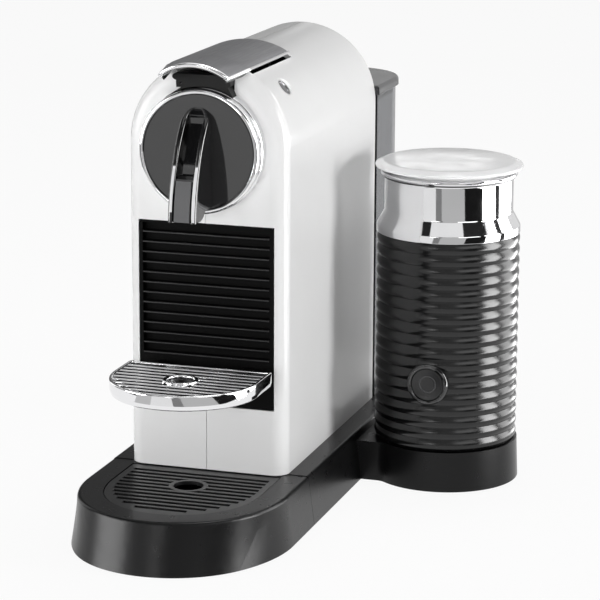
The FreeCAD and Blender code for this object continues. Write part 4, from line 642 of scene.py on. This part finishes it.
def cup_rim():
    """The bright rim: a rounded section swept round the D and lowered by smooth steps along the
    back, away from its two corners."""
    under, top = TRAY_UNDER_Z, TRAY_TOP_Z
    shelf, inner = under + TRAY_SHELF_HIGH, TRAY_WALL + TRAY_SHELF_DEEP
    section = rounded([(0.9, under, 1.2), (0.0, under + 3.0, 2.0), (0.0, top, 0.9), (TRAY_WALL, top, 0.8),
                       (TRAY_WALL, shelf, 0.3), (inner, shelf, 0.3), (inner, under, 0.3)], 6)
    loops = np.stack([tray_loop(inset) for inset in section[:, 0]])
    x, y, z = loops[..., 0], loops[..., 1], section[:, 1, None]
    behind = step_up(y, TRAY_BACK_Y - 8.0, TRAY_BACK_Y - 5.0) * step_up(TRAY_HALF_W - np.abs(x), 2.5, 6.0)
    rim = place(x, y, z - BACK_DROP * behind * (z - under))
    piece("cup_rim", rim, "bright_chrome", "cup_tray", ["cup_tray"], closed=True)


def cup_floor():
    """The dark floor under the bars: a flat D between two levels."""
    loop = tray_loop(TRAY_WALL + 0.1)
    levels = np.array([TRAY_UNDER_Z + 1.5, TRAY_UNDER_Z + 2.6])[:, None]
    plate = place(loop[None, :, 0], loop[None, :, 1], levels)
    piece("cup_tray_floor", plate, "inner_black", "cup_tray", [])


def bar_half(y):
    """Half the length of a bar at y: the tray's inside, half round in front, and a small bite."""
    inside = TRAY_HALF_W - TRAY_WALL
    middle = TRAY_TIP_Y + TRAY_HALF_W
    half_round = np.sqrt(np.clip(inside ** 2 - (y - middle) ** 2, 4.0, None))
    return np.where(y > middle, inside, half_round) + BAR_BITE


def cup_bars():
    """Bars along x at an even pitch, one from side to side or two where the ring stands in the
    way: each a flattened round carried from its start to its end."""
    rows = np.arange(TRAY_BACK_Y - 9.0, TRAY_TIP_Y + TRAY_WALL + 2.5, -GRID_PITCH)
    half = bar_half(rows)
    gap = np.sqrt(np.clip((CUP_RING_R - CUP_RING_BITE) ** 2 - (rows - CUP_RING_Y) ** 2, 0, None))
    split = gap > 0
    starts = np.concatenate([-half[~split], -half[split], gap[split]])[:, None, None]
    ends = np.concatenate([half[~split], -gap[split], half[split]])[:, None, None]
    rows = np.concatenate([rows[~split], rows[split], rows[split]])[:, None, None]
    turn = np.linspace(0, 2 * math.pi, 20, endpoint=False)
    deep = BAR_W / 2 * np.sign(np.cos(turn)) * np.abs(np.cos(turn)) ** 0.8
    x = starts + (ends - starts) * BAR_RUN
    y = rows + deep * BAR_BULK
    z = TRAY_TOP_Z - BAR_SINK - BAR_HIGH / 2 + BAR_HIGH / 2 * np.sin(turn) * BAR_BULK
    thin_bars("cup_bars", place(x, y, z), "bright_chrome", "cup_tray", ["cup_grid"])


def cup_ring():
    """The ring in the middle of the bars, turned from a rounded section."""
    inner, foot, top = CUP_RING_R - CUP_RING_W, TRAY_TOP_Z - CUP_RING_FOOT, TRAY_TOP_Z + CUP_RING_RISE
    section = rounded([(CUP_RING_R, foot, 0.3), (CUP_RING_R, top, 1.1), (inner, top, 1.1),
                       (inner, foot, 0.3)], 6)
    ring = turned(section, (0, CUP_RING_Y, 0), Z_AXIS, X_AXIS, 96)
    piece("cup_ring", ring, "bright_chrome", "cup_tray", [], closed=True)


# Drawer front

RIB_PITCH = 6.05
RIB_T = 1.1
RIB_COUNT = 14
RIB_MARGIN = 0.6
# Sizes of the lighter bars on the rib fronts: painted highlight.
RIB_HIGHLIGHT_Y = -0.15
RIB_HIGHLIGHT_DEEP = 0.55
RIB_HIGHLIGHT_HIGH = 0.5
GRILLE_TOP_Z = 179.0


def grille_rib_highlights():
    """Painted highlight: a rounded bar in a lighter black along the front of every rib below the topmost
    one, down to the sill, where the ribs catch the light: an ellipse carried from side to side."""
    half = span("capsule_bin")[1][0] - RIB_MARGIN
    rows = (GRILLE_TOP_Z - RIB_PITCH * np.arange(1, RIB_COUNT) - RIB_T / 2)[:, None, None]
    turn = np.linspace(0, 2 * math.pi, 16, endpoint=False)
    x = half * (2 * BAR_RUN - 1)
    y = RIB_HIGHLIGHT_Y + RIB_HIGHLIGHT_DEEP * np.cos(turn) * BAR_BULK
    z = rows + RIB_HIGHLIGHT_HIGH * np.sin(turn) * BAR_BULK
    thin_bars("grille_rib_highlight_bars", place(x, y, z), "rib_highlight", "drawer", [])


# Milk frother

sleeve_low, sleeve_high = span("frother_sleeve")
bezel_low, bezel_high = span("frother_bezel")
FROTHER_AXIS = ((sleeve_low[0] + sleeve_high[0]) / 2, (sleeve_low[1] + sleeve_high[1]) / 2, 0)
SLEEVE_RIBS = 18
SLEEVE_RIB_STEPS = 18
SLEEVE_RIB_DEPTH = 1.25
SLEEVE_WALL = 3
WELL_DEPTH = 3.9
WELL_SHARE = 0.445
COLLAR_RISE = 3.4
COLLAR_WALL = 1.4
NECK_DRAW_IN = 4.7
NECK_WALL = 0.8
NECK_ROLL = 2.4
LID_T = 3.0
LID_RIM_T = 4.0
LID_PLUG_R = 35.5
LID_PLUG_BORE_R = 33
LID_CROWN = 0.2
BOSS_R = 11
BOSS_FOOT = 6.5
BOSS_TOP = 3.1


def frother_wall():
    """The sleeve: its radius drops by the rib depth times one less the size of a sine of half a
    turn per rib. Behind the button it is sunk to a flat well, so that the button can be pressed."""
    foot, top = sleeve_low[2], sleeve_high[2]
    radius = (sleeve_high[0] - sleeve_low[0]) / 2
    inner = radius - SLEEVE_WALL
    z = np.linspace(foot, top, SLEEVE_RIB_STEPS * SLEEVE_RIBS + 1)
    phase = (z - foot) / (top - foot) * SLEEVE_RIBS
    wave = radius - SLEEVE_RIB_DEPTH * (1 - np.abs(np.sin(math.pi * phase)))
    wall = np.concatenate([np.column_stack([wave, z]), [(inner, top), (inner, foot)]])
    skin = turned(wall, FROTHER_AXIS, Z_AXIS, X_AXIS, 150)
    spot = place(*((bezel_low + bezel_high) / 2))
    well = WELL_SHARE * (bezel_high[0] - bezel_low[0]) * MM
    sunk = np.hypot(skin[..., 0] - spot[0], skin[..., 2] - spot[2]) < well
    sunk &= skin[..., 1] < place(*FROTHER_AXIS)[1]
    sunk &= np.arange(len(wall)) < len(z)
    skin[..., 1] = np.where(sunk, place(0, bezel_low[1] + WELL_DEPTH, 0)[1], skin[..., 1])
    piece("frother_wall", skin, "sleeve_black", "frother", ["frother_sleeve"], closed=True)


def frother_collar():
    """The bright collar, turned from a band, a flare and a narrower neck with a rolled rim."""
    low, high = span("frother_collar")
    foot, rim = low[2], high[2] + COLLAR_RISE
    wide = (high[0] - low[0]) / 2
    neck = wide - NECK_DRAW_IN
    band_bore, neck_bore, roll = wide - COLLAR_WALL, neck - NECK_WALL, neck + NECK_ROLL
    section = rounded([(band_bore, foot, 0), (wide, foot, 0.3), (wide, foot + 4.2, 1.8),
                       (neck, foot + 12.8, 2.6), (neck, rim - 3.5, 2.0), (roll, rim - 1.6, 0.8),
                       (roll, rim, 0.8), (neck_bore, rim, 0), (neck_bore, foot + 11.8, 1.5),
                       (band_bore, foot + 3.4, 1.5)], 8)
    collar = turned(section, FROTHER_AXIS, Z_AXIS, X_AXIS, 200)
    piece("frother_collar_skin", collar, "bright_chrome", "frother", ["frother_collar"],
          closed=True)


def frother_lid():
    """The milky lid, turned from a shallow crown over a plug, and the pale boss under it."""
    low, high = span("frother_lid")
    wide, foot, top = (high[0] - low[0]) / 2, low[2], high[2]
    under, base = top - LID_T, top - LID_RIM_T
    section = rounded([(0, under, 0), (LID_PLUG_BORE_R, under, 0.8), (LID_PLUG_BORE_R, foot, 0.5),
                       (LID_PLUG_R, foot, 0.5), (LID_PLUG_R, base, 1.2), (wide - 0.6, base, 0.5),
                       (wide, top - 2.4, 0.9), (wide - 5.0, top, 4.0), (20, top + 0.3, 6),
                       (0, top + 0.4, 0)], 8)
    section = section[section[:, 0] >= 0]
    section[:, 1] = np.minimum(section[:, 1], top + LID_CROWN)
    lid = turned(section, FROTHER_AXIS, Z_AXIS, X_AXIS, 160)
    piece("frother_lid_skin", lid, "lid_milky", "frother_lid", ["frother_lid"], closed=True)
    boss_foot, boss_top = top - BOSS_FOOT, top - BOSS_TOP
    section = rounded([(0, boss_foot, 0), (BOSS_R, boss_foot, 0.8), (BOSS_R, boss_top, 0.4),
                       (0, boss_top, 0)], 6)
    boss = turned(section, FROTHER_AXIS, Z_AXIS, X_AXIS, 96)
    piece("frother_lid_boss", boss, "lid_boss", "frother_lid", [], closed=True)


BUTTON_GAP = 0.3
BUTTON_T = 2.4
BEZEL_DEEP = 6
GLOW_R = 5.5
GLOW_BORE_R = 4.5
GLOW_DEEP = 1.9


def frother_button():
    """A dished round button with a thin ring in it, inside a rounded bezel on the sleeve: all
    three are turned about one line, square to the front."""
    centre = ((bezel_low[0] + bezel_high[0]) / 2, bezel_low[1], (bezel_low[2] + bezel_high[2]) / 2)
    rim = (bezel_high[0] - bezel_low[0]) / 2
    low, high = span("frother_button")
    cap = (high[0] - low[0]) / 2
    bore = cap + BUTTON_GAP
    section = rounded([(bore, BEZEL_DEEP, 0), (rim, BEZEL_DEEP, 0), (rim, 0.9, 1.2),
                       (cap + 1.5, -0.5, 0.8), (bore, 0.2, 0.3)], 7)
    bezel = turned(section, centre, Y_AXIS, X_AXIS, 96)
    piece("button_bezel", bezel, "gloss_black", "frother", ["frother_bezel"], closed=True)
    section = rounded([(0, BUTTON_T, 0), (cap, BUTTON_T, 0), (cap, 0.2, 0.6), (cap - 2.2, 0.7, 1.5),
                       (4, 1.2, 4), (0, 1.25, 0)], 7)
    face = turned(section[section[:, 0] >= 0], centre, Y_AXIS, X_AXIS, 96)
    piece("button_face", face, "button_dark", "frother_button", ["frother_button"], closed=True)
    section = rounded([(GLOW_BORE_R, GLOW_DEEP, 0), (GLOW_R, GLOW_DEEP, 0), (GLOW_R, 0.85, 0.3),
                       (GLOW_BORE_R, 0.9, 0.3)], 5)
    ring = turned(section, centre, Y_AXIS, X_AXIS, 96)
    piece("button_ring", ring, "ring_dark", "frother_button", [], closed=True)


# Shoulder buttons

BUTTON_LEAN = math.radians(50.0)
BUTTON_SINK = 0.9
BUTTON_R = 4.9
BUTTON_FOOT = -6


def shoulder_button(name, side):
    """A small rimmed cap set square to the shoulder, turned about a line that leans out by a set
    angle from upright."""
    low, high = span(name)
    out = np.array([side * math.sin(BUTTON_LEAN), 0, math.cos(BUTTON_LEAN)])
    centre = np.array([0, (low[1] + high[1]) / 2, ARCH_Z]) + out * (shell_high[0] - BUTTON_SINK)
    section = rounded([(0, BUTTON_FOOT, 0), (BUTTON_R, BUTTON_FOOT, 0), (BUTTON_R, 0.0, 0.5),
                       (4.0, 0.0, 0.4), (3.6, -0.35, 0.3), (0, -0.2, 0)], 6)
    cap = turned(section, centre, out, Y_AXIS, 72)
    piece(name + "_cap", cap, "button_metal", name, [name], closed=True)


ring_bands()
spout_beak()
spout_strip()
spout_highlight_lines()
throat()
lever_plate()
lever_lip()
lever_shadow_fins()
lever_top()
cup_rim()
cup_floor()
cup_bars()
cup_ring()
grille_rib_highlights()
frother_wall()
frother_collar()
frother_lid()
frother_button()
shoulder_button("button_left", -1)
shoulder_button("button_right", 1)


# Studio: the camera in machine millimetres and degrees, the rest in metres

CAM_AZIMUTH = 17.603
CAM_ELEVATION = 13.43
CAM_ROLL = 0.26
CAM_DISTANCE = 1651.9
CAM_TARGET = (25.8, 100.0, 113.1)
CAM_FOCAL_PIXELS = 2676.0
CAM_SENSOR = 36.0
CAM_REACH = 20.0
PHOTO_PIXELS = 600
WHITE = (1, 1, 1, 1)
WORLD_FILL = 0.22
FLOOR_SIZE = 12.0
FLOOR_TONE = (0.93, 0.93, 0.93)
FLOOR_GLOW = 0.92
TENT_R = 1.9
TENT_FOOT = 0.0005
TENT_NEAR = 0.34
TENT_LEFT_NEAR = 0.62
PANEL_R = TENT_R - 0.03


def camera():
    """The photo's camera: an orbit about a target, given in degrees and millimetres."""
    azimuth, elevation, roll = map(math.radians, (CAM_AZIMUTH, CAM_ELEVATION, CAM_ROLL))
    back = Vector((math.sin(azimuth) * math.cos(elevation), -math.cos(azimuth) * math.cos(elevation),
                   math.sin(elevation)))
    flat_right = Vector((math.cos(azimuth), math.sin(azimuth), 0))
    flat_up = back.cross(flat_right)
    right = flat_right * math.cos(roll) + flat_up * math.sin(roll)
    up = flat_up * math.cos(roll) - flat_right * math.sin(roll)
    target = Vector(place(*CAM_TARGET))
    turn = Matrix((right, up, back)).transposed().to_4x4()
    data = bpy.data.cameras.new("photo_camera")
    data.sensor_width = CAM_SENSOR
    data.lens = data.sensor_width * CAM_FOCAL_PIXELS / PHOTO_PIXELS
    data.clip_end = CAM_REACH
    view = bpy.data.objects.new("photo_camera", data)
    view.matrix_world = Matrix.Translation(target + back * CAM_DISTANCE * MM) @ turn
    bpy.context.collection.objects.link(view)
    bpy.context.scene.camera = view


def looked_at(tree):
    """1 for what the camera, mirrors and glass see and 0 for the rest: the largest of the three
    ray flags."""
    path = tree.nodes.new("ShaderNodeLightPath")
    total = path.outputs["Is Camera Ray"]
    for ray in ("Is Glossy Ray", "Is Transmission Ray"):
        most = tree.nodes.new("ShaderNodeMath")
        most.operation = "MAXIMUM"
        tree.links.new(total, most.inputs[0])
        tree.links.new(path.outputs[ray], most.inputs[1])
        total = most.outputs[0]
    return total


def world():
    """White where it is looked at, dimmer where it only lights."""
    sky = bpy.data.worlds.new("studio")
    sky.use_nodes = True
    tree = sky.node_tree
    fill = tree.nodes["Background"]
    fill.inputs["Color"].default_value = WHITE
    fill.inputs["Strength"].default_value = WORLD_FILL
    plain = tree.nodes.new("ShaderNodeBackground")
    plain.inputs["Color"].default_value = WHITE
    plain.inputs["Strength"].default_value = 1.0
    mix = tree.nodes.new("ShaderNodeMixShader")
    tree.links.new(looked_at(tree), mix.inputs["Fac"])
    tree.links.new(fill.outputs[0], mix.inputs[1])
    tree.links.new(plain.outputs[0], mix.inputs[2])
    tree.links.new(mix.outputs[0], tree.nodes["World Output"].inputs["Surface"])
    bpy.context.scene.world = sky


def floor():
    """A wide pale floor that glows white where it is looked at and keeps the contact shadow."""
    half = FLOOR_SIZE / 2
    mesh = bpy.data.meshes.new("floor")
    mesh.from_pydata([(-half, -half, 0), (half, -half, 0), (half, half, 0), (-half, half, 0)], [],
                     [(0, 1, 2, 3)])
    ground = bpy.data.objects.new("floor", mesh)
    mat, shader = finish("pale_floor", FLOOR_TONE, rough=0.8, spec=0.1)
    tree = mat.node_tree
    glow = tree.nodes.new("ShaderNodeEmission")
    glow.inputs["Color"].default_value = WHITE
    mix = tree.nodes.new("ShaderNodeMixShader")
    share = tree.nodes.new("ShaderNodeMath")
    share.operation = "MULTIPLY"
    share.inputs[1].default_value = FLOOR_GLOW
    tree.links.new(looked_at(tree), share.inputs[0])
    tree.links.new(share.outputs[0], mix.inputs["Fac"])
    tree.links.new(shader.outputs[0], mix.inputs[1])
    tree.links.new(glow.outputs[0], mix.inputs[2])
    tree.links.new(mix.outputs[0], tree.nodes["Material Output"].inputs["Surface"])
    mesh.materials.append(mat)
    bpy.context.collection.objects.link(ground)


def screen(name, start, end, high, tone, near=TENT_NEAR):
    """One wall of the reflection tent between two compass angles (degrees from the front,
    right positive): it runs out along the floor and then up."""
    angle = np.radians(np.linspace(start, end, 25))[None]
    radius = np.array([near, TENT_R, TENT_R])[:, None]
    height = np.array([TENT_FOOT, TENT_FOOT, high])[:, None]
    reflection_only(name, radius * np.sin(angle), -radius * np.cos(angle), height, tone)


def panel(name, start, end, low, high, tone):
    """An upright panel of the tent between two compass angles and two heights."""
    angle = np.radians(np.linspace(start, end, 13))[None]
    height = np.array([low, high])[:, None]
    reflection_only(name, PANEL_R * np.sin(angle), -PANEL_R * np.cos(angle), height, tone)


def ceiling(name, start, end, low, high, radius, tone):
    """A piece of the tent's ceiling: a band of a sphere between two compass angles and two
    elevations."""
    angle = np.radians(np.linspace(start, end, 33))[None]
    lift = np.radians(np.linspace(low, high, 9))[:, None]
    flat = radius * np.cos(lift)
    reflection_only(name, flat * np.sin(angle), -flat * np.cos(angle), radius * np.sin(lift), tone)


def reflection_only(name, x, y, z, tone):
    """A grid of faces with an even glow that only mirrors see."""
    grid = np.stack(np.broadcast_arrays(x, y, z), -1)
    rows, count = grid.shape[:2]
    index = np.arange(rows * count).reshape(rows, count)
    quads = np.stack([index[:-1, :-1], index[:-1, 1:], index[1:, 1:], index[1:, :-1]], -1).reshape(-1, 4)
    mesh = bpy.data.meshes.new(name)
    mesh.from_pydata(grid.reshape(-1, 3), [], quads.tolist())
    mat = bpy.data.materials.new(name)
    mat.use_nodes = True
    tree = mat.node_tree
    glow = tree.nodes.new("ShaderNodeEmission")
    glow.inputs["Color"].default_value = WHITE
    glow.inputs["Strength"].default_value = tone
    tree.links.new(glow.outputs[0], tree.nodes["Material Output"].inputs["Surface"])
    mesh.materials.append(mat)
    card = bpy.data.objects.new(name, mesh)
    bpy.context.collection.objects.link(card)
    card.visible_camera = False
    card.visible_diffuse = False
    card.visible_transmission = False
    card.visible_shadow = False


def softbox(name, spot, aim, size, power):
    """An area light at a spot, turned to face its aim."""
    data = bpy.data.lights.new(name, "AREA")
    data.shape = "RECTANGLE"
    data.size, data.size_y = size
    data.energy = power
    lamp = bpy.data.objects.new(name, data)
    way = Vector(aim) - Vector(spot)
    lamp.matrix_world = Matrix.Translation(Vector(spot)) @ way.to_track_quat("-Z", "Y").to_matrix().to_4x4()
    bpy.context.collection.objects.link(lamp)


camera()
world()
floor()
screen("dark_left", -150, -124, high=1.6, tone=0.10, near=TENT_LEFT_NEAR)
screen("white_left", -124, -104, high=1.6, tone=1.3, near=TENT_LEFT_NEAR)
screen("dim_left", -104, -92, high=1.6, tone=0.10, near=TENT_LEFT_NEAR)
screen("grey_left", -92, -68, high=1.6, tone=0.45, near=TENT_LEFT_NEAR)
screen("black_left", -68, -49, high=1.3, tone=0.012, near=TENT_LEFT_NEAR)
screen("pale_front_left", -49, -29, high=1.3, tone=0.55)
screen("white_front_left", -29, -4, high=1.3, tone=0.85)
screen("grey_front", -4, 7, high=1.3, tone=0.22)
screen("pale_front", 7, 48, high=1.3, tone=0.5)
screen("black_right", 48, 81, high=1.5, tone=0.01)
screen("white_right", 81, 106, high=1.3, tone=12.0)
screen("line_right", 106, 116, high=1.3, tone=0.05)
screen("white_back_right", 116, 144, high=1.3, tone=5.0)
screen("edge_right", 144, 156, high=1.3, tone=8.0)
screen("pale_back_right", 156, 184, high=1.3, tone=0.6)
screen("dark_back", 184, 210, high=1.6, tone=0.2)
panel("lamp_left", -76, -40, low=0.0, high=0.7, tone=10.5)
panel("lamp_back", 140, 190, low=0.1, high=0.9, tone=0.8)
panel("lamp_far", 185, 197, low=0.50, high=0.66, tone=1.6)
panel("lamp_right_high", 34, 70, low=0.5, high=1.5, tone=2.0)
ceiling("dark_ceiling", -110, 100, low=36, high=64, radius=2.3, tone=0.02)
ceiling("white_ceiling", -18, 46, low=40, high=50, radius=2.2, tone=0.85)
softbox("top", (0.15, 0.5, 2.2), aim=(0.06, 0.06, 0), size=(0.8, 0.8), power=13)
softbox("key_left", (-1.6, -1.0, 0.6), aim=(0, 0, 0.12), size=(1.0, 1.0), power=9)
softbox("fill_right", (2.0, 0.04, 0.3), aim=(0, 0.04, 0.1), size=(0.5, 0.5), power=21)
softbox("front_low", (-0.2, -1.9, 0.3), aim=(0, 0, 0.06), size=(1.4, 0.5), power=16)
bpy.context.scene.view_settings.view_transform = "Standard"
